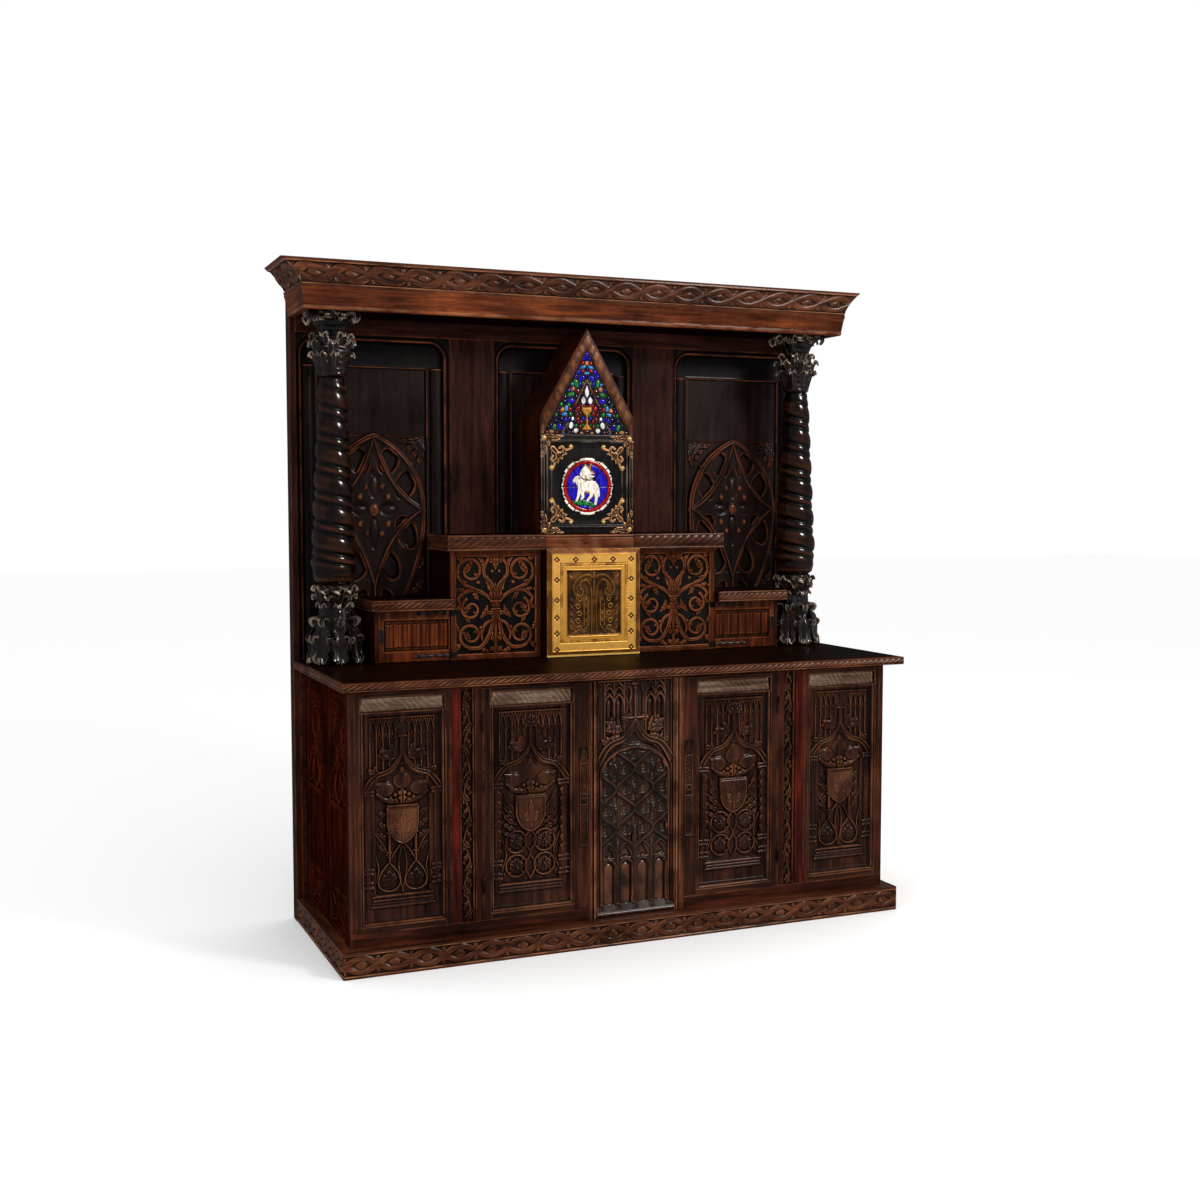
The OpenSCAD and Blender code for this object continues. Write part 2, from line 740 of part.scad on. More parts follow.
module right_door_frame() {
    color([0.3, 0.12, 0.07])
        frame_of(door_x, door_z, door_panel_x, door_panel_z, [frame_back, cabinet_reach]);
}

module right_door_panel() {
    color([0.26, 0.13, 0.08]) board(door_panel_x, [frame_back, panel_front], door_panel_z);
}

module right_door_carving() {
    mid = (door_panel_x[0] + door_panel_x[1]) / 2;
    color([0.28, 0.15, 0.09]) arch_relief(mid, 136, 624, 118);
}

module right_door_hinge_leaves() {
    color([0.35, 0.3, 0.2]) for (z = cab_hinge_z)
        moving_butt(cab_axis, z, [door_x[1], door_x[1] + thin_leaf_t], [cabinet_reach - 22, cab_axis[1]]);
}

// A lock's case with a channel for its bolt; near is the end that the bolt comes out of
module lock_case(near, side, reach, z) {
    far = near + side * 40;
    x = [min(near, far), max(near, far)];
    channel = [min(near - side, near + side * (bolt[0] + 3)), max(near - side, near + side * (bolt[0] + 3))];
    difference() {
        board(x, [reach - 14, reach], [z - 20, z + 20]);
        board(channel, bolt_reach(reach, small), [z - bolt[2] / 2 - small, z + bolt[2] / 2 + small]);
    }
}

// A lock's bolt, drawn back
module lock_bolt(near, side, reach, z) {
    x = [min(near, near + side * bolt[0]), max(near, near + side * bolt[0])];
    board(x, bolt_reach(reach, 0), [z - bolt[2] / 2, z + bolt[2] / 2]);
}

module right_door_lock() {
    plate_x = [door_x[0] + 2, door_x[0] + 34];
    color([0.12, 0.09, 0.08]) {
        lock_case(door_x[0] + 4, 1, frame_back, lock_z);
        difference() {
            board(plate_x, [cabinet_reach, cabinet_reach + 3], [360, 720]);
            translate([(plate_x[0] + plate_x[1]) / 2, board_y - cabinet_reach + 1, lock_z + 4])
                rotate([90, 0, 0]) cylinder(h = 6, r = 4);
        }
    }
}

module right_door_bolt() {
    color([0.6, 0.6, 0.58]) lock_bolt(door_x[0] + 1.5, 1, frame_back, lock_z);
}

module left_door_frame() { mirror([1, 0, 0]) right_door_frame(); }
module left_door_panel() { mirror([1, 0, 0]) right_door_panel(); }
module left_door_carving() { mirror([1, 0, 0]) right_door_carving(); }
module left_door_hinge_leaves() { mirror([1, 0, 0]) right_door_hinge_leaves(); }
module left_door_lock() { mirror([1, 0, 0]) right_door_lock(); }
module left_door_bolt() { mirror([1, 0, 0]) right_door_bolt(); }

// ---- Side box doors ------------------------------------------------------------------------

module right_box_door() {
    reach = [box_reach - box_door_t, box_reach];
    stile = 28;
    rail = 38;
    inner_x = [box_door_x[0] + stile, box_door_x[1] - stile];
    inner_z = [box_door_z[0] + rail, box_door_z[1] - rail];
    folds = 7;
    pitch = (inner_x[1] - inner_x[0]) / folds;
    color([0.5, 0.26, 0.13]) {
        difference() {
            board(box_door_x, reach, box_door_z);
            board(inner_x, [box_reach - 8, box_reach + 1], inner_z);
        }
        for (i = [0:folds - 1])
            post([inner_x[0] + pitch * (i + 0.5), box_reach - 8], [inner_z[0] + 4, inner_z[1] - 4], 6);
    }
}

module right_box_ironwork() {
    lug = strap_h / 4 + small;
    color([0.08, 0.07, 0.07]) {
        for (z = strap_z) {
            middle = [z - strap_h / 2 + lug, z + strap_h / 2 - lug];
            difference() {
                union() {
                    post(box_axis, middle, strap_knuckle_r);
                    board([box_axis[0], box_door_x[0] + 30], [box_reach, gradine_reach + 1], middle);
                    board([box_door_x[0] + 6, box_x[0] + 141], [box_reach, gradine_reach + 1],
                        [z - strap_h / 2, z + strap_h / 2]);
                }
                post(box_axis, [z - strap_h, z + strap_h], strap_pin_r + pin_play);
            }
        }
        board([box_door_x[1] - 20, box_door_x[1] - 7], [box_reach, box_reach + 2],
            [box_lock_z - 29, box_lock_z + 29]);
        lock_case(box_door_x[1] - 2, -1, box_reach - box_door_t, box_lock_z);
    }
}

module right_box_bolt() {
    color([0.6, 0.6, 0.58]) lock_bolt(box_door_x[1] - 0.5, -1, box_reach - box_door_t, box_lock_z);
}

module left_box_door() { mirror([1, 0, 0]) right_box_door(); }
module left_box_ironwork() { mirror([1, 0, 0]) right_box_ironwork(); }
module left_box_bolt() { mirror([1, 0, 0]) right_box_bolt(); }

// ---- Tabernacle door -----------------------------------------------------------------------

module tabernacle_door() {
    color([0.25, 0.15, 0.08]) board([-tab_half, tab_half], [tab_back, tab_face], tab_door_z);
}

module tabernacle_border() {
    inner = tab_half - tab_border_w;
    reach = [tab_face, tab_face + tab_metal_t];
    color([0.83, 0.65, 0.25]) frame_of([-tab_half, tab_half], tab_door_z, [-inner, inner],
        [tab_door_z[0] + tab_border_w, tab_door_z[1] - tab_border_w], reach);
}

module tabernacle_relief() {
    inner = tab_half - tab_border_w - seam;
    color([0.6, 0.45, 0.15]) board([-inner, inner], [tab_face, tab_face + tab_metal_t - 3],
        [tab_door_z[0] + tab_border_w + seam, tab_door_z[1] - tab_border_w - seam]);
}

module tabernacle_hinge_leaves() {
    color([0.45, 0.38, 0.2]) for (z = tab_hinge_z)
        moving_butt(tab_axis, z, [tab_half, tab_half + leaf_t], [tab_axis[1], tab_face + 6]);
}

module tabernacle_lock() {
    color([0.3, 0.27, 0.22]) lock_case(tab_wall + 3 - tab_half, 1, tab_back, tab_lock_z);
}

module tabernacle_bolt() {
    color([0.6, 0.6, 0.58]) lock_bolt(tab_wall + 1.5 - tab_half, 1, tab_back, tab_lock_z);
}

plinth_boards();
cabinet_partitions();
cupboard_shelves();
front_frame();
vine_strips();
outer_bay_frames();
outer_bay_panels();
bay_carvings();
centre_frame();
centre_panel();
side_frames();
side_panels();
table_top();
back_frame();
back_panels();
almond_tracery();
column_bases();
column_shafts();
column_capitals();
cornice_frieze();
cornice_fascia();
cornice_boards();
gradine_top();
gradine_case();
scroll_grilles();
tabernacle_box();
gable_walls();
gable_trim();
gable_glass();
medallion_panel();
medallion();
side_box_tops();
side_box_cases();
hinge_fixed_leaves();
hinge_pins();
box_hinge_pintles();
left_door_frame();
left_door_panel();
left_door_carving();
left_door_hinge_leaves();
left_door_lock();
left_door_bolt();
right_door_frame();
right_door_panel();
right_door_carving();
right_door_hinge_leaves();
right_door_lock();
right_door_bolt();
left_box_door();
left_box_ironwork();
left_box_bolt();
right_box_door();
right_box_ironwork();
right_box_bolt();
tabernacle_door();
tabernacle_border();
tabernacle_relief();
tabernacle_hinge_leaves();
tabernacle_lock();
tabernacle_bolt();
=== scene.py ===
"""A carved Gothic altar with its reredos: the looks of every visible piece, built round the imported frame."""

import json
import math

import bpy
import numpy as np
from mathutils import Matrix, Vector


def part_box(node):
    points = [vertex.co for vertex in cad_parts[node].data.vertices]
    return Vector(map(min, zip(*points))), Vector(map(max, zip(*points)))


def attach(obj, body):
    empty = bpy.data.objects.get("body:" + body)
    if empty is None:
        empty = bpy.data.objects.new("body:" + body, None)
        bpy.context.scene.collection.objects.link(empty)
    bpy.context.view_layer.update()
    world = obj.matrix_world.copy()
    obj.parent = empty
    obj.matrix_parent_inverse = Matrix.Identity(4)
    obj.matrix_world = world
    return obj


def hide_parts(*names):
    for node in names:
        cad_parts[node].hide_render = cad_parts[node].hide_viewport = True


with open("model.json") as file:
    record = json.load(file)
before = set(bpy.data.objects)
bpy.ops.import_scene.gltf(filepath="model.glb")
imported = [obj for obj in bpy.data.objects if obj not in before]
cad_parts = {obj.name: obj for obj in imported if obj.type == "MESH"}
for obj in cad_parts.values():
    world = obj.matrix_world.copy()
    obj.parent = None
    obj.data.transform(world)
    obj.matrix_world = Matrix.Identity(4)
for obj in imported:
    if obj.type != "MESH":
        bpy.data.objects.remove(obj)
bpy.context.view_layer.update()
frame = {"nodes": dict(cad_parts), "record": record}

# Sizes in this script are millimetres: x from the middle plane, z above the floor, and "reach",
# the distance in front of the back board. The mesh builders turn them into metres.
MM = 0.001
BOARD_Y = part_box("back_frame")[0].y  # front face of the back board


def node_mm(name):
    """A CAD node's ranges in x, reach and z, in mm, as three pairs."""
    lo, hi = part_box(name)
    return ((lo.x / MM, hi.x / MM), ((BOARD_Y - hi.y) / MM, (BOARD_Y - lo.y) / MM), (lo.z / MM, hi.z / MM))


# ---- Stage, light and camera ---------------------------------------------------------------


def make_stage():
    """A pale floor and a white surround that gives soft light."""
    bpy.ops.mesh.primitive_plane_add(size=60)
    floor = bpy.context.object
    floor.name = "floor"
    mat = bpy.data.materials.new("pale_floor")
    mat.use_nodes = True
    shader = mat.node_tree.nodes["Principled BSDF"]
    shader.inputs["Base Color"].default_value = (0.97, 0.97, 0.97, 1)
    shader.inputs["Roughness"].default_value = 0.9
    shader.inputs["Specular IOR Level"].default_value = 0.0
    floor.data.materials.append(mat)
    floor.visible_glossy = False  # so that polished wood does not mirror it
    world = bpy.data.worlds.new("surround")
    world.use_nodes = True
    bpy.context.scene.world = world
    tree = world.node_tree
    seen = tree.nodes.new("ShaderNodeBackground")
    seen.inputs["Color"].default_value = (1, 1, 1, 1)
    seen.inputs["Strength"].default_value = 1.0
    given = tree.nodes["Background"]
    given.inputs["Color"].default_value = (0.93, 0.96, 1.0, 1)
    given.inputs["Strength"].default_value = 0.10
    path = tree.nodes.new("ShaderNodeLightPath")
    mix = tree.nodes.new("ShaderNodeMixShader")
    tree.links.new(path.outputs["Is Glossy Ray"], mix.inputs["Fac"])
    tree.links.new(seen.outputs[0], mix.inputs[1])
    tree.links.new(given.outputs[0], mix.inputs[2])
    tree.links.new(mix.outputs[0], tree.nodes["World Output"].inputs["Surface"])


def area_light(name, place, aim, size, watts, tint=(1, 1, 1), mirrored=True):
    """A soft box. One that is not mirrored lights the wood but leaves no reflection on it."""
    light = bpy.data.lights.new(name, "AREA")
    light.shape = "RECTANGLE"
    light.size, light.size_y = size
    light.energy = watts
    light.color = tint
    lamp = bpy.data.objects.new(name, light)
    lamp.location = place
    lamp.visible_glossy = mirrored
    lamp.rotation_mode = "QUATERNION"
    lamp.rotation_quaternion = (Vector(aim) - Vector(place)).to_track_quat("-Z", "Y")
    bpy.context.scene.collection.objects.link(lamp)


def make_camera():
    """Stands to the left in front of the altar, at eye height, looking slightly down."""
    data = bpy.data.cameras.new("camera")
    data.sensor_width = 36.0
    data.lens = 43.86
    camera = bpy.data.objects.new("camera", data)
    camera.location = (-2.1917, -5.1291, 1.5979)
    camera.rotation_euler = (math.radians(90 - 3.859), 0, math.radians(-23.15))
    bpy.context.scene.collection.objects.link(camera)
    bpy.context.scene.camera = camera


make_stage()
area_light("key", (3.0, -4.6, 4.2), (0.0, 0.0, 1.3), (1.3, 0.9), 150, (1.0, 0.97, 0.93))
area_light("fill", (-5.0, -3.6, 3.0), (0.0, 0.0, 1.1), (1.2, 1.2), 42, (0.93, 0.96, 1.0), False)
area_light("front", (-0.6, -6.4, 2.2), (0.0, 0.0, 1.2), (3.4, 2.4), 66, (1, 1, 1), False)
make_camera()
bpy.context.scene.view_settings.view_transform = "Standard"

# ---- Materials -----------------------------------------------------------------------------


def srgb(*levels):
    """A linear colour from display levels of 0 to 255."""
    return tuple((v / 255 / 12.92) if v < 10.3 else ((v / 255 + 0.055) / 1.055) ** 2.4 for v in levels)


class Nodes:
    """A material under construction."""

    def __init__(self, name):
        self.mat = bpy.data.materials.new(name)
        self.mat.use_nodes = True
        self.tree = self.mat.node_tree
        self.shader = self.tree.nodes["Principled BSDF"]

    def put(self, node, **inputs):
        for key, value in inputs.items():
            socket = node.inputs[int(key[2:]) if key.startswith("in") else key.replace("_", " ")]
            if isinstance(value, bpy.types.NodeSocket):
                self.tree.links.new(value, socket)
            else:
                socket.default_value = value
        return node

    def add(self, kind, settings=None, **inputs):
        node = self.tree.nodes.new("ShaderNode" + kind)
        for key, value in (settings or {}).items():
            setattr(node, key, value)
        return self.put(node, **inputs)

    def math(self, operation, a, b):
        return self.add("Math", {"operation": operation}, in0=a, in1=b).outputs[0]

    def noise(self, vector, scale, detail=4.0, distortion=0.0):
        made = self.add("TexNoise", Vector=vector, Scale=scale, Detail=detail, Distortion=distortion)
        return made.outputs["Fac"]

    def spread(self, value, low, high, to_low=0.0, to_high=1.0):
        """A value between low and high, spread over another range and held inside it."""
        made = self.add("MapRange", Value=value, From_Min=low, From_Max=high, To_Min=to_low, To_Max=to_high)
        return made.outputs[0]

    def mix(self, factor, a, b):
        node = self.add("Mix", {"data_type": "RGBA"})
        for socket, value in ((node.inputs[0], factor), (node.inputs[6], a), (node.inputs[7], b)):
            if isinstance(value, bpy.types.NodeSocket):
                self.tree.links.new(value, socket)
            elif isinstance(value, tuple):
                socket.default_value = (*value, 1)
            else:
                socket.default_value = value
        return node.outputs[2]

    def bump(self, height, distance, strength=1.0):
        made = self.add("Bump", Height=height, Distance=distance, Strength=strength)
        self.tree.links.new(made.outputs[0], self.shader.inputs["Normal"])

    def place(self, stretch=(1, 1, 1)):
        """The piece's own coordinates in metres, stretched."""
        return self.add("Mapping", Vector=self.add("TexCoord").outputs["Object"], Scale=stretch).outputs[0]

    def worn_and_lit(self):
        """How proud of its surroundings the carving is, from -1 in a hollow to 1 on a ridge; it drives both
        the wear colours and the painted highlight and shade.
        """
        return self.add("Attribute", {"attribute_name": "wear"}).outputs["Fac"]


WOODS = {  # dark, middle and light figure, colour of worn ridges and of painted highlight, colour of pores and of painted shade in hollows, roughness, polish
    "carved_oak": ((30, 12, 5), (70, 34, 18), (104, 56, 31), (146, 96, 62), (3, 1, 0), 0.32, 0.34),
    "dark_oak": ((16, 5, 2), (28, 10, 4), (42, 17, 8), (70, 34, 18), (4, 1, 0), 0.50, 0.03),
    "red_oak": ((26, 7, 3), (58, 14, 6), (108, 25, 10), (104, 44, 22), (6, 2, 1), 0.34, 0.2),
    "frame_oak": ((16, 6, 3), (46, 18, 9), (80, 34, 16), (104, 54, 30), (3, 1, 0), 0.36, 0.2),
    # A darker copy of red oak for the sides: the red is the wood's own, the extra darkness is painted shade on
    # faces turned from the light.
    "side_oak": ((13, 3, 1), (34, 8, 3), (58, 17, 7), (76, 30, 15), (2, 1, 0), 0.42, 0.0),
    "panel_oak": ((16, 6, 3), (42, 18, 9), (74, 35, 17), (100, 60, 36), (1, 0, 0), 0.30, 0.4),
    # The sloping panel heads get a pale copy of the panel oak: painted highlight where they face the light
    # above.
    "head_oak": ((54, 34, 24), (98, 74, 58), (146, 120, 102), (176, 142, 112), (24, 12, 8), 0.30, 0.5),
    "centre_oak": ((18, 11, 8), (40, 24, 17), (70, 41, 26), (116, 70, 46), (1, 1, 1), 0.28, 0.7),
    "back_oak": ((22, 9, 6), (46, 21, 16), (66, 33, 25), (112, 54, 24), (3, 2, 3), 0.36, 0.1),
    "cove_oak": ((16, 8, 7), (28, 15, 13), (44, 25, 21), (110, 56, 30), (3, 3, 4), 0.32, 0.3),
    "ebony_oak": ((6, 4, 3), (15, 11, 9), (28, 21, 18), (116, 98, 82), (0, 0, 0), 0.30, 0.5),
    "black_oak": ((3, 1, 0), (12, 4, 2), (25, 10, 4), (62, 29, 14), (2, 1, 0), 0.18, 1.0),
    # The column leaves' ridge colour is near white: mostly painted highlight.
    "leaf_oak": ((6, 2, 1), (22, 10, 6), (52, 30, 20), (206, 180, 158), (1, 0, 0), 0.24, 1.5),
    "grille_oak": ((38, 15, 6), (74, 33, 15), (106, 51, 23), (140, 80, 46), (8, 2, 1), 0.36, 0.12),
    "linen_oak": ((30, 10, 4), (72, 29, 11), (116, 52, 20), (128, 66, 30), (5, 1, 0), 0.36, 0.2),
    "light_oak": ((38, 15, 6), (84, 38, 17), (128, 62, 27), (150, 100, 70), (7, 2, 1), 0.34, 0.14),
}
made_woods = {}


def wood(kind, along="z"):
    """Polished oak: long figure and pores along one axis, ridges worn pale with painted highlight, painted
    shade in the hollows.
    """
    if (kind, along) in made_woods:
        return made_woods[kind, along]
    dark, middle, light, worn_and_lit, hollow, rough, polish = WOODS[kind]
    n = Nodes(f"{kind}_{along}")
    thin = {"x": (0.07, 1, 1), "y": (1, 0.07, 1), "z": (1, 1, 0.07)}[along]
    figure = n.noise(n.place(tuple(48 * s for s in thin)), 1.0, 5.0, 0.6)
    pores = n.noise(n.place(tuple(420 * s for s in thin)), 1.0, 3.0)
    cloud = n.noise(n.place(), 4.3, 4.0)
    shade = n.math("ADD", n.math("MULTIPLY", figure, 0.62), n.math("MULTIPLY", cloud, 0.38))
    ramp = n.add("ValToRGB", Fac=shade)
    stops = ramp.color_ramp.elements
    stops[0].position, stops[1].position = 0.34, 0.68
    stops[0].color, stops[1].color = (*srgb(*dark), 1), (*srgb(*light), 1)
    stops.new(0.5).color = (*srgb(*middle), 1)
    grained = n.mix(n.spread(pores, 0.38, 0.6, 0.4, 0.0), ramp.outputs[0], srgb(*hollow))
    wear = n.worn_and_lit()
    patchy = n.noise(n.place(), 13.0, 4.0)
    rubbing_and_painted_light = n.math("MULTIPLY", wear, n.spread(patchy, 0.36, 0.64, 0.3, 1.2))
    # Ridges take the pale ridge colour: part real wear, part painted highlight.
    ridge = n.spread(rubbing_and_painted_light, 0.10, 0.80)
    # Hollows take the dark hollow colour as painted shade.
    sunk = n.spread(wear, -0.08, -0.75)
    coloured = n.mix(n.math("MULTIPLY", ridge, 0.85), grained, srgb(*worn_and_lit))
    coloured = n.mix(n.math("MULTIPLY", sunk, 0.9), coloured, srgb(*hollow))
    matt = n.math("ADD", n.spread(cloud, 0.3, 0.7, rough - 0.07, rough + 0.09),
                  n.math("MULTIPLY", sunk, 0.25))
    n.put(n.shader, Base_Color=coloured, Roughness=n.math("SUBTRACT", matt, n.math("MULTIPLY", ridge, 0.08)))
    n.put(n.shader, Coat_Weight=polish * 0.5, Coat_Roughness=0.12, Specular_IOR_Level=0.45 * polish)
    n.bump(n.math("ADD", n.math("MULTIPLY", pores, 0.35), figure), 0.0009, 0.55)
    made_woods[kind, along] = n.mat
    return n.mat


def metal(name, base, shadow, bright, rough, grit=90.0, dents=0.0004, sheen=0.85):
    """Old metal: tarnish in patches and hollows, rubbed bright on ridges, uneven gloss."""
    n = Nodes(name)
    patch = n.noise(n.place(), 16.0, 5.0, 0.4)
    fine = n.noise(n.place(), grit, 4.0)
    wear = n.worn_and_lit()
    tarnish = n.spread(n.math("SUBTRACT", patch, n.math("MULTIPLY", wear, 0.35)), 0.42, 0.68)
    colour = n.mix(tarnish, srgb(*base), srgb(*shadow))
    colour = n.mix(n.spread(wear, 0.15, 0.8), colour, srgb(*bright))
    colour = n.mix(n.spread(wear, -0.1, -0.8, 0.0, 0.85), colour, srgb(*shadow))
    gloss = n.spread(fine, 0.3, 0.7, rough - 0.06, rough + 0.12)
    n.put(n.shader, Base_Color=colour, Metallic=sheen, Roughness=gloss)
    n.bump(n.math("ADD", fine, patch), dents, 0.6)
    return n.mat


def glass_colour(name, tint, deep, painted_backlight):
    """Coloured glass: streaky, glossy, a little uneven, with a faint emission that is painted backlight."""
    n = Nodes(name)
    streak = n.noise(n.place((60, 60, 18)), 1.0, 4.0, 1.5)
    colour = n.mix(n.spread(streak, 0.35, 0.65), srgb(*deep), srgb(*tint))
    n.put(n.shader, Base_Color=colour, Roughness=n.spread(streak, 0.3, 0.7, 0.1, 0.22), Coat_Weight=0.15)
    # Painted backlight: the glass emits a little light, as if lit from behind.
    n.put(n.shader, Emission_Color=colour, Emission_Strength=painted_backlight)
    n.bump(n.noise(n.place(), 260.0, 2.0), 0.0004, 0.5)
    return n.mat


# ---- Mesh builders -------------------------------------------------------------------------

SIDES = (("left", -1), ("right", 1))
SHARP_ANGLE = math.radians(50)  # edges sharper than this are not shaded smooth
FAR = 1e6  # farther than anything on the altar


class Heap:
    """Points and faces gathered from several closed solids, for one piece."""

    def __init__(self):
        self.points, self.faces, self.wear, self.which, self.count = [], [], [], [], 0

    def add(self, points, faces, wear=None, which=0):
        """Adds one closed solid. Its faces are turned so that its volume is positive."""
        points = np.asarray(points, float)
        volume = 0.0
        for face in faces:
            first = points[face[:, 0]]
            for i in range(1, face.shape[1] - 1):
                volume += np.einsum("ij,ij->", first, np.cross(points[face[:, i]], points[face[:, i + 1]]))
        for face in faces:
            self.faces.append((face if volume > 0 else face[:, ::-1]) + self.count)
            self.which.append(np.full(len(face), which))
        self.points.append(points)
        self.wear.append(np.zeros(len(points)) if wear is None else wear.ravel())
        self.count += len(points)
        return self

    def piece(self, name, mats, slot, replaces=(), body="altar"):
        """The gathered solids as one mesh that rides on its body."""
        points = np.concatenate(self.points).astype(np.float32)
        loops = np.concatenate([face.ravel() for face in self.faces]).astype(np.int32)
        sizes = np.concatenate([np.full(len(face), face.shape[1], np.int32) for face in self.faces])
        starts = np.concatenate([[0], np.cumsum(sizes)[:-1]]).astype(np.int32)
        mesh = bpy.data.meshes.new(name)
        mesh.vertices.add(len(points))
        mesh.vertices.foreach_set("co", points.ravel())
        mesh.loops.add(len(loops))
        mesh.loops.foreach_set("vertex_index", loops)
        mesh.polygons.add(len(sizes))
        mesh.polygons.foreach_set("loop_start", starts)
        mesh.polygons.foreach_set("loop_total", sizes)
        mesh.polygons.foreach_set("use_smooth", np.full(len(sizes), True))
        for mat in mats:
            mesh.materials.append(mat)
        mesh.polygons.foreach_set("material_index", np.concatenate(self.which).astype(np.int32))
        mesh.update(calc_edges=True)
        mesh.validate()
        layer = mesh.attributes.new("wear", "FLOAT", "POINT")
        layer.data.foreach_set("value", np.concatenate(self.wear).astype(np.float32))
        mesh.set_sharp_from_angle(angle=SHARP_ANGLE)
        piece = bpy.data.objects.new(name, mesh)
        bpy.context.scene.collection.objects.link(piece)
        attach(piece, body)
        if replaces:
            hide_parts(*replaces)


def at(x, reach, z):
    """Points in metres from x, reach and z in mm."""
    x, reach, z = np.broadcast_arrays(x, reach, z)
    return np.stack([x * MM, BOARD_Y - reach * MM, z * MM], -1).reshape(-1, 3)


def lattice_faces(rows, cols, around=False):
    """Quads over a grid of points stored row by row; around joins the last column to the first."""
    r, c = np.meshgrid(np.arange(rows - 1), np.arange(cols if around else cols - 1), indexing="ij")
    r, c = r.ravel(), c.ravel()
    right = (c + 1) % cols
    return np.stack([r * cols + c, r * cols + right, (r + 1) * cols + right, (r + 1) * cols + c], 1)


def lattice_rim(rows, cols):
    """The numbers of the points round the edge of such a grid, in order."""
    return np.concatenate([np.arange(cols), np.arange(1, rows) * cols + cols - 1,
                           (rows - 1) * cols + np.arange(cols - 2, -1, -1),
                           np.arange(rows - 2, 0, -1) * cols])


def plank_solid(x, reach, z, round_off=1.6):
    """A board with eased edges that carry wear. Ranges in mm."""
    steps = [0.0, round_off * 0.45, round_off, round_off + 3.5]
    near = [1.0, 0.8, 0.35, 0.0]  # the wear at each step from an edge
    lines = []
    for low, high in (x, reach, z):
        inset = [s * min(1.0, (high - low) * 0.48 / steps[-1]) for s in steps]
        lines.append(np.array([low + s for s in inset] + [high - s for s in reversed(inset)]))
    lines = np.array(lines)
    last = lines.shape[1] - 1
    core_low, core_high = lines[:, 2], lines[:, last - 2]
    index, points, wear = {}, [], []

    def corner(key):
        if key not in index:
            index[key] = len(points)
            p = lines[(0, 1, 2), key]
            core = np.clip(p, core_low, core_high)
            out = p - core
            length = np.linalg.norm(out)
            points.append(core + out * (np.abs(out).max() / length) if length > 1e-9 else p)
            depths = sorted(min(v, last - v) for v in key)
            wear.append(near[min(depths[1], 3)])
        return index[key]

    faces = []
    for axis in range(3):
        for side in (0, last):
            for a in range(last):
                for b in range(last):
                    ring = [[a, b], [a + 1, b], [a + 1, b + 1], [a, b + 1]]
                    faces.append([corner((*key[:axis], side, *key[axis:])) for key in ring])
    points = np.array(points)
    return at(points[:, 0], points[:, 1], points[:, 2]), [np.array(faces)], np.array(wear) * 0.8


def boards(name, ranges, kind, slot, replaces=(), mirrored=False, body="altar"):
    """Plain boards as one piece; each one's grain runs along its longest side."""
    heap = Heap()
    for x, reach, z in ranges:
        longest = int(np.argmax([abs(span[1] - span[0]) for span in (x, reach, z)]))
        heap.add(*plank_solid(x, reach, z), which=longest)
        if mirrored:
            heap.add(*plank_solid((-x[1], -x[0]), reach, z), which=longest)
    heap.piece(name, [wood(kind, along) for along in "xyz"], slot, replaces, body)


# ---- Curves in a panel's plane -------------------------------------------------------------


def heading(degrees):
    """The step of length 1 in a direction, anticlockwise from the right."""
    return math.cos(math.radians(degrees)), math.sin(math.radians(degrees))


def arc(cx, cz, rx, rz, start=0, end=360, count=40):
    """Points on an ellipse between two angles in degrees, anticlockwise from the right."""
    turn = np.radians(np.linspace(start, end, count))
    return np.stack([cx + rx * np.cos(turn), cz + rz * np.sin(turn)], 1)


def ellipse(cx, cz, rx, rz, tilt=0.0):
    line = arc(0, 0, rx, rz, 0, 350, 36)
    c, s = heading(tilt)
    return np.stack([cx + line[:, 0] * c - line[:, 1] * s, cz + line[:, 0] * s + line[:, 1] * c], 1)


def ogee_arch(cx, half, low, apex, count=22):
    """An ogee from the left shoulder over the apex to the right shoulder."""
    t = np.linspace(0, 1, count)
    x = half * (1 - t)
    z = low + (apex - low) * (t + 0.75 * np.sin(2 * np.pi * t) / (2 * np.pi))
    return np.concatenate([np.stack([cx - x, z], 1), np.stack([cx + x, z], 1)[::-1][1:]])


def lancet(cx, half, low, apex, count=12):
    """A pointed arch from its left springing to its right one."""
    rise = apex - low
    radius = (rise * rise + half * half) / (2 * half)
    top = math.degrees(math.asin(min(1.0, rise / radius)))
    right = arc(cx - (radius - half), low, radius, radius, 0, top, count)
    left = np.stack([2 * cx - right[:, 0], right[:, 1]], 1)
    return np.concatenate([left, right[::-1][1:]])


def on_legs(line, foot):
    """An arch closed by straight legs and a foot."""
    return np.vstack([line, [(line[-1][0], foot), (line[0][0], foot)]])


def spiral(outer, inner, start, turns, count=34):
    """A scroll round 0, 0 winding inwards from its outer radius. Negative turns wind clockwise."""
    t = np.linspace(0, 1, count)
    r = outer + (inner - outer) * t ** 0.85
    turn = np.radians(start) + 2 * np.pi * turns * t
    return np.stack([r * np.cos(turn), r * np.sin(turn)], 1)


def bend(*points, count=26):
    """A smooth curve through a few points, or a straight line between two."""
    p = np.asarray(points, float)
    if len(p) == 2:
        return p
    ends = np.vstack([2 * p[0] - p[1], p, 2 * p[-1] - p[-2]])
    t = np.linspace(0, 1, max(3, count // (len(p) - 1)), endpoint=False)[:, None]
    made = []
    for a, b, c, d in zip(ends, ends[1:], ends[2:], ends[3:]):
        cubic = (3 * b - a - 3 * c + d) * t ** 3
        made.append(0.5 * (2 * b + (c - a) * t + (2 * a - 5 * b + 4 * c - d) * t ** 2 + cubic))
    return np.vstack(made + [p[-1:]])


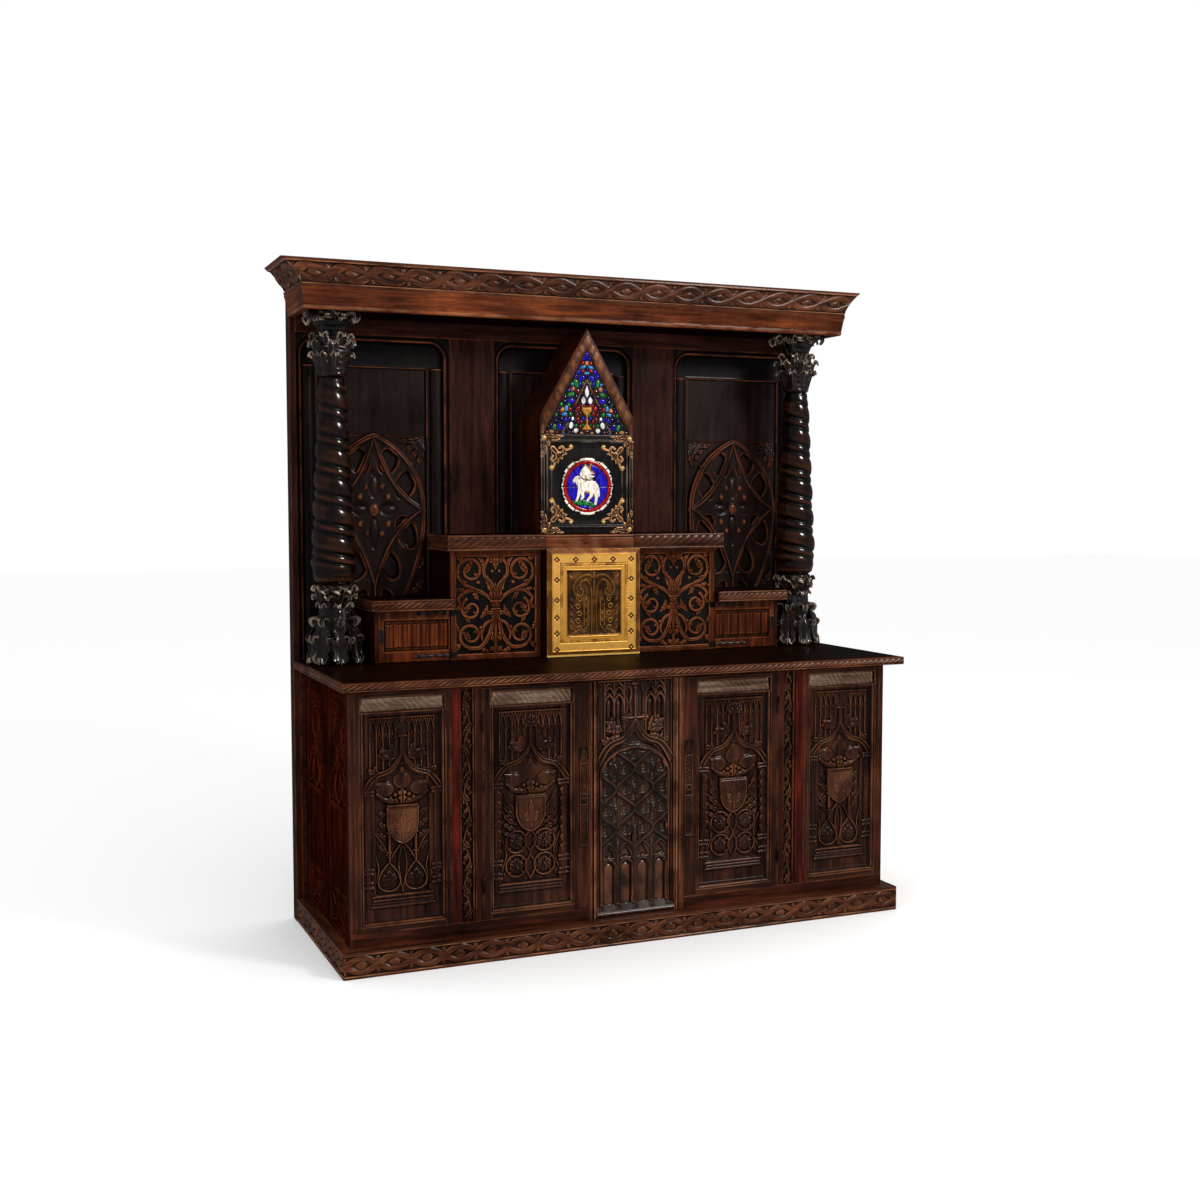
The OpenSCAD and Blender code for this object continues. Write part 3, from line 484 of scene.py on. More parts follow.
def nearest(x, z, a, b):
    """How far along the line from a to b each point lies, from 0 to 1, and its distance from the line."""
    d = b - a
    t = np.clip(((x - a[0]) * d[0] + (z - a[1]) * d[1]) / max(d @ d, 1e-9), 0, 1)
    return t, np.hypot(x - a[0] - t * d[0], z - a[1] - t * d[1])


FORMS = {  # the section of a rib or boss: height by distance from its middle
    "round": lambda a: np.sqrt(np.clip(1 - a * a, 0, 1)),
    "soft": lambda a: np.clip(1 - a * a, 0, 1),
    "keel": lambda a: np.clip(1 - a, 0, 1) ** 0.8,
    "reed": lambda a: np.sqrt(np.clip(1 - a * a, 0, 1)) - 0.42 * np.exp(-((a / 0.28) ** 2)),
}


class Carving:
    """A carved face: heights in mm over a grid, built up from ribs, leaves and bosses."""

    def __init__(self, x, z, step):
        """x and z are ranges that step divides, or else whole rows of grid lines."""
        self.xs, self.zs = (
            np.linspace(v[0], v[1], max(3, round((v[1] - v[0]) / step) + 1)) if len(v) == 2 else np.asarray(v)
            for v in (x, z))
        self.step = step
        self.x, self.z = np.meshgrid(self.xs, self.zs)
        self.h = np.zeros(self.x.shape)
        self.shape = self.field(-FAR)  # inside the pierced work where it's above 0
        self.rubbing_and_painted_light = self.field(0)  # added to the wear: real rubbing, and painted highlight and shade
        self.bold = 1.0  # how much broader ribs and leaves are made than they are drawn

    def field(self, value):
        """One value at every point."""
        return np.full(self.x.shape, float(value))

    def window(self, points, margin):
        low, high = np.min(points, 0) - margin, np.max(points, 0) + margin
        cols = slice(*np.searchsorted(self.xs, (low[0], high[0])))
        rows = slice(*np.searchsorted(self.zs, (low[1], high[1])))
        return rows, cols

    def level(self, value):
        """Sets the ground to an array of heights."""
        self.h = np.array(np.broadcast_to(value, self.h.shape), float)
        return self

    def border(self):
        """Distance from the nearest edge of the face."""
        across = np.minimum(self.x - self.xs[0], self.xs[-1] - self.x)
        return np.minimum(across, np.minimum(self.z - self.zs[0], self.zs[-1] - self.z))

    def lift(self, spot, value, depth):
        """Raises a window of the face to value; depth is the distance inside the raised shape."""
        np.maximum(self.h[spot], np.where(depth > 0, value, -FAR), out=self.h[spot])
        np.maximum(self.shape[spot], depth, out=self.shape[spot])

    def rib(self, points, width, height, base=0.0, form="round", closed=False):
        """A moulding that follows a line. width is half of it across, and may change along the line."""
        p = np.asarray(points, float)
        if closed:
            p = np.vstack([p, p[:1]])
        part = np.linspace(0, 1, len(p))
        w, top = (np.interp(part, np.linspace(0, 1, np.size(v)), np.atleast_1d(v)) for v in (width, height))
        w = w * self.bold
        for i, (a, b) in enumerate(zip(p, p[1:])):
            spot = self.window((a, b), max(w[i], w[i + 1]) + self.step)
            if self.h[spot].size:
                t, away = nearest(self.x[spot], self.z[spot], a, b)
                half = w[i] + t * (w[i + 1] - w[i])
                across = np.minimum(away / np.maximum(half, 1e-6), 1)
                self.lift(spot, base + (top[i] + t * (top[i + 1] - top[i])) * FORMS[form](across),
                          half - away)

    def bar(self, cx, half, z, *shape):
        """A level rib."""
        self.rib([(cx - half, z), (cx + half, z)], *shape)

    def boss(self, cx, cz, rx, rz, height, base=0.0, form="round"):
        """A rounded lump."""
        spot = self.window(((cx, cz),), max(rx, rz) + self.step)
        if self.h[spot].size:
            a = np.hypot((self.x[spot] - cx) / rx, (self.z[spot] - cz) / rz)
            self.lift(spot, base + height * FORMS[form](np.minimum(a, 1)), (1 - a) * min(rx, rz))

    def leaf(self, root, tip, width, height, base=0.0, lobes=3, curl=0.0):
        """A lobed leaf with a sunk midrib, from its root to its tip; curl bows it to its left."""
        root, tip, width = np.asarray(root, float), np.asarray(tip, float), width * self.bold
        along = tip - root
        middle = (root + tip) / 2 + curl * np.array([-along[1], along[0]])
        t = np.linspace(0, 1, 10)[:, None]
        spine = (1 - t) ** 2 * root + 2 * t * (1 - t) * middle + t ** 2 * tip
        spot = self.window(spine, width + self.step)
        if not self.h[spot].size:
            return
        near, where = np.full(self.h[spot].shape, FAR), np.zeros(self.h[spot].shape)
        for i, (a, b) in enumerate(zip(spine, spine[1:])):
            s, away = nearest(self.x[spot], self.z[spot], a, b)
            where = np.where(away < near, (i + s) / 9, where)
            near = np.minimum(away, near)
        full = np.sin(np.pi * np.clip(where, 0.02, 0.98) ** 0.75) ** 0.7
        half = width * full * (0.68 + 0.32 * np.abs(np.cos(lobes * np.pi * where)))
        a = near / np.maximum(half, 1e-6)
        midrib = 0.4 * np.exp(-((near / (0.16 * width)) ** 2))
        body = np.sqrt(np.clip(1 - a * a, 0, 1)) * (0.5 + 0.5 * full) - midrib
        body += 0.16 * np.cos(2 * lobes * np.pi * where) * np.clip(a, 0, 1)
        self.lift(spot, base + height * np.maximum(body, 0.12), half - near)

    def rosette(self, cx, cz, r, petals, height, base=0.0, turn=0.0):
        """A flower seen from above, with a button in the middle."""
        for i in range(petals):
            c, s = heading(turn + 360 * i / petals)
            self.leaf((cx + 0.15 * r * c, cz + 0.15 * r * s), (cx + r * c, cz + r * s), 0.5 * r, height, base,
                      1)
        self.boss(cx, cz, 0.28 * r, 0.28 * r, height * 1.1, base)

    def inside(self, points, margin=0.0):
        """A window round a closed outline, and how far inside it each point there is."""
        points = np.asarray(points, float)
        spot = self.window(points, margin + self.step)
        x, z = self.x[spot], self.z[spot]
        near, within = np.full(x.shape, FAR), np.zeros(x.shape, bool)
        for a, b in zip(points, np.roll(points, -1, 0)):
            near = np.minimum(near, nearest(x, z, a, b)[1])
            if a[1] != b[1]:
                within ^= ((a[1] > z) != (b[1] > z)) & (x < a[0] + (z - a[1]) * (b[0] - a[0]) / (b[1] - a[1]))
        return spot, np.where(within, near, -near)

    def plate(self, points, height, base=0.0, ease=2.0, swell=0.0):
        """A flat raised shape with eased edges; swell crowns its middle."""
        spot, depth = self.inside(points)
        if depth.size:
            rise = height * np.clip(depth / ease, 0, 1) ** 0.6
            rise += swell * np.clip(depth / max(depth.max(), 1e-6), 0, 1) ** 0.7
            self.lift(spot, base + rise, depth)

    def hollow(self, points, depth_to, ramp=3.0):
        """Sinks the ground inside a closed outline to a depth."""
        spot, depth = self.inside(points)
        if depth.size:
            t = np.clip(depth / ramp, 0, 1)
            t = t * t * (3 - 2 * t)
            height = self.h[spot]
            self.h[spot] = np.where(depth > 0, np.minimum(height, height + (depth_to - height) * t), height)

    def wear(self, radius=5.0, depth=2.6):
        """Height above the mean height nearby, from -1 to 1, with the added rubbing and painted light."""
        n = max(1, round(radius / self.step))
        mean = self.h
        for axis in (0, 1):
            padded = np.pad(mean, [(n + 1, n) if a == axis else (0, 0) for a in (0, 1)], "edge")
            run = np.cumsum(padded, axis)
            high = np.take(run, np.arange(2 * n + 1, run.shape[axis]), axis)
            low = np.take(run, np.arange(0, run.shape[axis] - 2 * n - 1), axis)
            mean = (high - low) / (2 * n + 1)
        return np.clip((self.h - mean) / depth + self.rubbing_and_painted_light, -1, 1)

    def solid(self, place, back):
        """A closed board whose front is the carving. place turns (u, v, height) into metres."""
        rim = lattice_rim(*self.x.shape)
        front = place(self.x.ravel(), self.z.ravel(), self.h.ravel())
        rear = place(self.x.ravel()[rim], self.z.ravel()[rim], np.full(len(rim), float(back)))
        low = len(front) + np.arange(len(rim))
        walls = np.stack([rim, low, np.roll(low, -1), np.roll(rim, -1)], 1)
        wear = np.concatenate([self.wear().ravel(), np.zeros(len(rim))])
        return np.concatenate([front, rear]), [lattice_faces(*self.x.shape), walls, low[::-1][None, :]], wear

    def pierced_solid(self, place, back):
        """A closed pierced carving: only what lies inside the drawn shapes, cut through to the back."""
        inside = self.shape > 0
        keep = inside[:-1, :-1] | inside[1:, :-1] | inside[:-1, 1:] | inside[1:, 1:]
        used = np.zeros(self.x.shape, bool)
        for dr in (0, 1):
            for dc in (0, 1):
                used[dr:dr + keep.shape[0], dc:dc + keep.shape[1]] |= keep
        gz, gx = np.gradient(np.clip(self.shape, -3 * self.step, FAR), self.step)
        steep = np.maximum(gx * gx + gz * gz, 0.2)
        pull = np.where(used & ~inside, np.clip(-self.shape, 0, 1.2 * self.step) / steep, 0)
        x, z = self.x + gx * pull, self.z + gz * pull
        count = int(used.sum())
        number = np.full(self.x.shape, -1)
        number[used] = np.arange(count)
        front = place(x[used], z[used], np.maximum(self.h, back + 1.0)[used])
        rear = place(x[used], z[used], np.full(count, float(back)))
        r, c = np.nonzero(keep)
        quads = np.stack([number[r, c], number[r, c + 1], number[r + 1, c + 1], number[r + 1, c]], 1)
        edges = {}
        for a, b in np.concatenate([quads[:, [0, 1]], quads[:, [1, 2]], quads[:, [2, 3]], quads[:, [3, 0]]]):
            if (b, a) in edges:
                del edges[b, a]
            else:
                edges[a, b] = True
        walls = np.array([(b, a, a + count, b + count) for a, b in edges])
        wear = np.concatenate([self.wear()[used], np.zeros(count)])
        return np.concatenate([front, rear]), [quads, quads[:, ::-1] + count, walls], wear


class Both:
    """Draws on both halves of a carving. Every x is a distance from the axis; curls are mirrored."""

    def __init__(self, carving, cx=0.0):
        self.carving, self.cx = carving, cx

    def mirrored(self, points):
        return [[(self.cx + side * x, z) for x, z in points] for side in (-1, 1)]

    def rib(self, points, *shape):
        for line in self.mirrored(points):
            self.carving.rib(bend(*line), *shape)

    def post(self, x, low, high, *shape):
        self.rib([(x, low), (x, high)], *shape)

    def leaf(self, root, tip, width, height, base=0.0, lobes=3, curl=0.0):
        for side, line in zip((-1, 1), self.mirrored((root, tip))):
            self.carving.leaf(*line, width, height, base, lobes, curl * side)

    def boss(self, x, z, *shape):
        for side in (-1, 1):
            self.carving.boss(self.cx + side * x, z, *shape)

    def rosette(self, x, z, *shape):
        for side in (-1, 1):
            self.carving.rosette(self.cx + side * x, z, *shape)


def facing_front(reach, mitre=None):
    """Places a carving on the front: u is x, v is z and heights come forward from reach.
    mitre is the half width at height 0 of a board whose ends are cut at 45 degrees."""
    return lambda u, v, h: at(u * (1 + h / mitre) if mitre else u, reach + h, v)


def facing_side(side, x, mitre=None):
    """Places a carving on a side: u is the reach, v is z and heights go outwards from x.
    mitre is the reach at height 0 of a board whose front end is cut at 45 degrees."""
    return lambda u, v, h: at(side * (x + h), u * (1 + h / mitre) if mitre else u, v)


def right_range(side, low, high):
    """A range of x given for the right half, on the side that's asked for."""
    return (low, high) if side > 0 else (-high, -low)


def level_ends(c, ends, height):
    """Brings the carving to one height at its mitred ends."""
    for x in ends:
        t = np.clip(np.abs(c.x - x) / 7, 0, 1)
        c.h = c.h * t + height * (1 - t)
    return c


def carved(name, carving, place, back, mat, slot, replaces=(), body="altar", pierced=False):
    """A carving as a piece of its own, down to a back at a height below its face."""
    solid = carving.pierced_solid(place, back) if pierced else carving.solid(place, back)
    Heap().add(*solid).piece(name, [mat], slot, replaces, body)


def mitred_band(name, make, half, front, place_front, place_side, back, kind, node, height=None):
    """A moulding round the front and both ends. make carves a range; height is that of its mitres."""
    for part, along, span, place in (("front", "x", (-half, half), place_front),
                                     ("left_return", "y", (0, front), place_side(-1)),
                                     ("right_return", "y", (0, front), place_side(1))):
        face = make(span)
        if height is not None:
            level_ends(face, [x for x in span if x], height)
        carved(f"{name}_{part}", face, place, back, wood(kind, along), kind,
               [node] if part == "front" else ())
# ---- Plinth and cabinet --------------------------------------------------------------------

PLINTH_X, PLINTH_REACH, PLINTH_Z = node_mm("plinth_boards")
RELIEF = 8.0  # how far the bands of interlace stand in front of their boards
MITRE_HEIGHT = 5.0  # height of the interlace at its mitred corners


def interlace(x, z, pitch):
    """Two smooth bands weaving round a row of oval eyes, between plain fillets."""
    c = Carving(x, z, 2.0)
    height = z[1] - z[0]
    low, high = z[0] + 0.12 * height, z[1] - 0.14 * height
    half_band = 0.072 * pitch + 2.2
    middle, swing = (low + high) / 2, (high - low) / 2 - half_band + 1
    depth = np.minimum(c.z - low, high - c.z)
    c.level(np.interp(depth, [-6, -3, -1, 0, 2.0], [6.0, 7.4, 7.0, 3.0, 0.0]))
    count = round((x[1] - x[0]) / pitch)
    pitch = (x[1] - x[0]) / count
    for i in range(count):
        crossing = x[0] + i * pitch
        c.boss(crossing + 0.5 * pitch, middle, 0.17 * pitch, swing - half_band + 1, 6.6, 0.4)
        for side in (-1, 1):
            root, tip = (crossing, middle + side * 0.45 * swing), (crossing, middle + side * (swing + 7))
            c.leaf(root, tip, 0.09 * pitch, 4.2, 0.4, 1)
    phase = np.pi * (c.x - x[0]) / pitch
    for strand in (-1, 1):
        line = middle + strand * swing * np.sin(phase)
        slope = np.hypot(1, swing * np.pi / pitch * np.cos(phase))
        across = np.abs(c.z - line) / slope / half_band
        over = 1.2 * strand * np.cos(phase)
        band = 1.6 + over + 4.6 * FORMS["soft"](np.minimum(across, 1)) ** 0.7
        c.h = np.where((across < 1) & (depth > -1), np.maximum(c.h, band), c.h)
    # Painted shade: the low ground between the bands and eyes is darkened.
    c.rubbing_and_painted_light = np.where((c.h < 2.4) & (depth > 1), -0.32, 0.05)
    c.h = np.minimum(c.h, RELIEF)
    return c


def plinth():
    half, front, eye_pitch = PLINTH_X[1] - RELIEF, PLINTH_REACH[1] - RELIEF, 118
    mitred_band("plinth", lambda span: interlace(span, (0, PLINTH_Z[1]), eye_pitch), half, front,
                facing_front(front, half), lambda side: facing_side(side, half, front), -50, "carved_oak",
                "plinth_boards", MITRE_HEIGHT)


# The cabinet's front, from the middle outwards, in mm
STILE_X, FRAME_REACH, STILE_Z = node_mm("front_frame")
TABLE_X, TABLE_REACH, TABLE_Z = node_mm("table_top")
VINE_X, VINE_REACH, VINE_Z = node_mm("vine_strips")
VINE_X = (615.0, VINE_X[1])
BAY_X, _, BAY_Z = node_mm("outer_bay_frames")
BAY_X = (704.0, BAY_X[1])
DOOR_X, DOOR_REACH, DOOR_Z = node_mm("right_door_frame")
SIDE_FACE = STILE_X[1]
PANEL_BACK = FRAME_REACH[0]
GROUND = 11.0  # height of the panels' own ground above their rear
BAY_MARGIN = 18  # width of the plain boards beside a bay's panel
LOCK_STILE, HINGE_STILE = 54, 27  # widths of the boards beside a door's panel
FOOT_RAIL, HEAD_RAIL = 20, 15  # heights of the boards below and above the panels
GAP = 0.3  # between boards that meet


def front_carcass():
    """The stiles and rails between the bays; the stiles beside the vines are a stronger red."""
    bottom, top = VINE_Z
    upright = (bottom + 0.4, top - 0.4)
    ranges = [((1040, SIDE_FACE), FRAME_REACH, upright), ((588, 615), FRAME_REACH, upright),
              ((190.4, SIDE_FACE), FRAME_REACH, (STILE_Z[0], bottom))]
    boards("front_stiles_and_rails", ranges, "frame_oak", "dark_oak", ["front_frame"], mirrored=True)
    boards("front_red_stiles", [((667, 704), FRAME_REACH, upright)], "red_oak", "red_oak", mirrored=True)
    boards("front_top_rail", [((-SIDE_FACE, SIDE_FACE), FRAME_REACH, (top, TABLE_Z[0]))], "dark_oak",
           "dark_oak")


def vine(x):
    """A running stem with a leaf and a berry bunch in every bend."""
    c = Carving(x, VINE_Z, 1.2)
    edge = np.minimum(c.x - x[0], x[1] - c.x)
    c.level(np.interp(edge, [0, 2, 4.5, 7, 9], [15, 17, 15, 8, 5]))
    centre, wave, turns = (x[0] + x[1]) / 2, 10.0, 5
    z = np.linspace(VINE_Z[0], VINE_Z[1], 160)
    length = (VINE_Z[1] - VINE_Z[0]) / turns
    c.rib(np.stack([centre + wave * np.sin(2 * np.pi * (z - z[0]) / length), z], 1), 3.0, 6.5, 6.5)
    for i in range(2 * turns):
        way = 1 if i % 2 else -1
        mid = VINE_Z[0] + (i + 0.5) * length / 2
        for (dx, dz), (ex, ez), wide, high, lobes, bow in (((8, -26), (-15, 6), 13, 11, 4, 0.25),
                                                           ((10, 8), (-11, 30), 9, 10, 3, -0.3),
                                                           ((9, -6), (20, 12), 5, 7, 2, 0)):
            c.leaf((centre + way * dx, mid + dz), (centre + way * ex, mid + ez), wide, high, 6, lobes,
                   bow * way)
        for k in range(6):
            c.boss(centre - way * (9 + 4 * (k % 2)), mid - 34 + 5 * (k // 2), 3.2, 3.2, 6, 7)
    c.h = np.minimum(c.h, 21)
    return c


def vine_strips():
    for name, side in SIDES:
        carved(f"{name}_vine_strip", vine(right_range(side, *VINE_X)), facing_front(VINE_REACH[0]), 0,
               wood("panel_oak", "z"), "carved_oak", ["vine_strips"])


def sunk_panel(x, z):
    """The moulded margin of a panel: beads at the sides and foot, and a bed for the chamfered head."""
    c = Carving(x, z, 1.6)
    side = np.minimum(np.minimum(c.x - x[0], x[1] - c.x), c.z - z[0])
    top = z[1] - c.z
    margin = np.interp(side, [0, 2, 3.5, 7, 11, 13, 20], [27, 27, 23, 26.6, 23, 18, GROUND])
    head = np.interp(top, [0, 2, 3, 5, 49, 50.5, 52, 56, 62, 72],
                     [27, 27, 24, 11, 11, 12, 21, 20.5, 17, GROUND])
    c.bold = 1.35
    # Painted shade darkens the carved ground inside the margin; a painted highlight lightens the foot ledge.
    c.rubbing_and_painted_light = np.where((side < 13) | (c.z < z[0] + 50), 0.0, -0.22)
    c.rubbing_and_painted_light = np.where(c.z < z[0] + 6, 0.8, c.rubbing_and_painted_light)
    below = np.maximum(margin, np.where(side > 3, head, 0))
    return c.level(np.where(top < 50.5, np.where(side < 3, margin, head), below))


def head_chamfer(name, x, top, body):
    """The broad sloping head of a panel, coloured pale as painted highlight, with slanting tool marks."""
    c = Carving((x[0] + 3.6, x[1] - 3.6), (top - 50, top - 4), 1.5)
    marks = np.sin((c.x + 0.8 * c.z) * 0.25 + 2 * np.sin(c.x * 0.045) + np.sin(c.z * 0.11))
    end = np.minimum(c.x - c.xs[0], c.xs[-1] - c.x)
    slope = np.interp(top - c.z, [4, 46, 50], [26, 13.5, 12])
    c.level(np.minimum(slope, 12 + 1.1 * end) + 0.4 * marks)
    c.rubbing_and_painted_light = 0.16 * marks
    carved(name, c, facing_front(PANEL_BACK), 6, wood("head_oak", "x"), "panel_oak", body=body)


def arcade(c, cx, half, low, spring, top, bays, height=6.0):
    """A row of small cusped lancets on mullions."""
    pitch = 2 * half / bays
    c.bar(cx, half, top, 2.4, height + 1, GROUND)
    for i in range(bays + 1):
        x = cx - half + i * pitch
        c.rib([(x, low), (x, top)], 2.0 if i % 2 else 2.6, height, GROUND, "soft")
    for i in range(bays):
        x = cx - half + (i + 0.5) * pitch
        c.rib(lancet(x, 0.5 * pitch, spring, top - 2), 1.9, height, GROUND)
        c.rib(lancet(x, 0.26 * pitch, spring - 0.3 * pitch, spring + 0.45 * pitch), 1.3, 0.7 * height, GROUND)
        for side in (-1, 1):
            c.boss(x + side * 0.3 * pitch, spring - 0.25 * pitch, 1.8, 2.4, 0.7 * height, GROUND)


def crocket(c, x, z, size, way):
    """A curled leaf on the back of an arch."""
    base = GROUND + 2
    for dx, dz, wide, high, lobes, bow in ((1, 0.9, 0.42, 9, 2, -0.35), (1.35, 0.1, 0.34, 8, 2, 0.3),
                                           (0.2, 1.1, 0.3, 8, 1, 0)):
        c.leaf((x, z), (x + way * dx * size, z + dz * size), wide * size, high, base, lobes, bow * way)
    c.boss(x + way * 0.95 * size, z + 0.55 * size, 0.26 * size, 0.22 * size, 11, base)


def ogee(c, cx, half, low, apex, finial_top):
    """The main arch: a double moulding with crockets on its back and a stem up to a finial."""
    line = ogee_arch(cx, half, low, apex)
    c.rib(line, 9.5, 6, GROUND, "soft")
    for gap, wide, rise in ((-6, 2.5, 8.5), (0, 1.8, 6.0), (6, 2.5, 8.5)):
        moved = np.stack([cx + (line[:, 0] - cx) * (1 + gap / half), line[:, 1] + 0.7 * gap], 1)
        c.rib(moved, wide, rise, GROUND + 1.5)
    c.rib([(cx, apex - 4), (cx, finial_top - 30)], (7, 4), 8, GROUND + 1)
    for side in (-1, 1):
        crocket(c, cx + side * 0.22 * half, apex - 0.10 * (apex - low), 0.30 * half, side)
        crocket(c, cx + side * 0.66 * half, apex - 0.50 * (apex - low), 0.17 * half, side)


def bud(c, cx, low, high, half):
    """A finial of closed leaves."""
    c.bar(cx, 0.6 * half, low - 3, 3, 9, GROUND)
    for spread, top in ((0.95, 0.75), (0.55, 0.95)):
        Both(c, cx).leaf((0, low), (spread * half, low + top * (high - low)), 0.42 * half, 10, GROUND, 2,
                         -0.3)
    c.leaf((cx, low), (cx, high), 0.5 * half, 12, GROUND, 1)


def shield(c, cx, low, high, swell):
    """A plain shield charged with a sprig of three leaves, which stands for any device."""
    half, both = 54, Both(c, cx)
    side = arc(cx - 0.2 * half, low + 0.62 * (high - low), 1.2 * half, 0.62 * (high - low), -90, 0, 10)
    side = side[side[:, 0] > cx]
    right = np.vstack([[(cx, low)], side, [(cx + half, high)]])
    left = np.stack([2 * cx - right[:, 0], right[:, 1]], 1)[::-1]
    line = np.vstack([right, left[:-1]])
    c.plate(line, 5, GROUND - 1, 2.5, swell)
    spot, depth = c.inside(line)
    # The shield's face is lightened with its swell: part wear, part painted highlight.
    c.rubbing_and_painted_light[spot] += np.where(depth > 0, 0.07 * swell, 0)
    c.rib(line, 2.2, 8.0, GROUND, closed=True)
    base = GROUND + swell * 0.75 + 2
    middle = (low + high) / 2
    c.rib([(cx, low + 16), (cx, middle + 6)], 2.0, 3.2, base)
    c.leaf((cx, middle), (cx, high - 12), 9, 4.5, base, 2)
    both.leaf((0, middle - 6), (0.62 * half, middle + 16), 8, 4.2, base, 2, -0.25)
    both.leaf((0, middle - 18), (0.55 * half, middle - 10), 6.5, 4.0, base, 2, -0.2)


def rope_shaft(c, cx, half, low, high, twist):
    """A slim shaft with rings at the foot and a cap; twist winds it like a rope."""
    for z, wide in ((low, 1.25), (low + 16, 1.05), (low + 48, 1.1), (low + 62, 1.25), (high, 1.2),
                    (high + 12, 1.35)):
        c.bar(cx, wide * half, z, 5.0, 8.5, GROUND)
    spot = c.window(((cx - half, low), (cx + half, high)), 0)
    x, z = c.x[spot] - cx, c.z[spot]
    a = np.clip(np.abs(x) / half, 0, 1)
    body = 8.0 * np.sqrt(1 - a * a)
    if twist:
        body += 2.2 * np.abs(np.sin(np.pi * (z + 1.1 * x) / twist)) - 1.4
    c.h[spot] = np.maximum(c.h[spot], np.where(a < 1, GROUND + body - 1, -FAR))


def trefoil(c, cx, low):
    """Three smooth pointed lobes above a shield, with berries and small leaves where they meet."""
    base, both = 5.5, Both(c, cx)
    c.rib([(cx, low + 88), (cx, low + 128)], (22, 2), 6, base, "soft")
    c.boss(cx, low + 82, 31, 29, 8, base)
    both.rib([(62, low + 58), (98, low + 78)], (20, 2), 6, base, "soft")
    both.boss(60, low + 54, 32, 25, 8, base)
    both.rib([(22, low + 8), (60, low + 18), (88, low + 40)], (9, 5), 7, base)
    for dx, dz, r in ((9, 40, 8), (24, 34, 7), (40, 24, 6), (22, 16, 6)):
        both.boss(dx, low + dz, r, r, 10, base + 1)
    c.leaf((cx, low + 4), (cx, low + 60), 12, 13, base, 3)
    c.rubbing_and_painted_light = np.where(np.hypot((c.x - cx) / 96, (c.z - low - 66) / 62) < 1, 0.16, c.rubbing_and_painted_light)


def flower_drop(both, x, cz, r, base):
    """A flower in a drop-shaped ring."""
    t = np.linspace(0, 2 * np.pi, 30)
    ring = np.stack([r * np.sin(t) * np.abs(np.sin(t / 2)) * 1.25, cz + 1.25 * r * np.cos(t)], 1)
    for side in (-1, 1):
        both.carving.rib(ring + (both.cx + side * x, 0), 2.4, 7, base)
    both.rosette(x, cz - 0.25 * r, 0.72 * r, 5, 6, base, 90)


def traced_panel(x, z, cx, arcade_z, arch, head):
    """What the four panels share: margin, arcade, ogee field and the sunk field under its arch."""
    c = sunk_panel(x, z)
    arcade(c, cx, *arcade_z, 10)
    half, low, apex, foot, depth = arch
    c.hollow(on_legs(ogee_arch(cx, half, low, apex), foot), depth, 3)
    half, low, apex, foot = head
    c.hollow(on_legs(lancet(cx, half, low, apex), foot), 4.5, 4)
    return c, Both(c, cx)


def bay_panel(x, cx):
    """Outer bay: ogee on rope shafts over a shield that hangs between two bars and two flowers."""
    c, both = traced_panel(x, (BAY_Z[0] + FOOT_RAIL, BAY_Z[1] - HEAD_RAIL), cx, (112, 640, 804, 866),
                           (132, 612, 742, 600, 12), (97, 612, 706, 256))
    for side in (-1, 1):
        rope_shaft(c, cx + side * 123, 13, 288, 604, 15)
    for line, *shape in ((((0, 438), (30, 400), (47, 366)), 2.6, 8, 5),
                         (((0, 438), (14, 360), (0, 262)), 2.2, 7, 4),
                         (((95, 470), (62, 420), (47, 366)), 2.4, 7, 4),
                         (((95, 300), (84, 345), (95, 400)), 2.2, 6, 4),
                         (((46, 560), (46, 372)), 3.2, 11, 6), (((40, 404), (52, 404)), 3.0, 12, 6),
                         (((40, 470), (52, 470)), 3.0, 12, 6)):
        both.rib(line, *shape)
    flower_drop(both, 47, 318, 40, 4.5)
    for z in (546, 508, 470, 430):
        both.leaf((62, z - 26), (90, z), 8, 8, 4.5, 3, 0.3)
    trefoil(c, cx, 566)
    c.bar(cx, 50, 562, 4.0, 13, 6)
    ogee(c, cx, 138, 612, 744, 884)
    bud(c, cx, 806, 876, 21)
    shield(c, cx, 432, 556, 10)
    for z, half, rise in ((252, 104, 7), (241, 100, 9), (229, 104, 6), (219, 108, 8)):
        c.bar(cx, half, z, 4.4, rise, GROUND - 1)
    return c


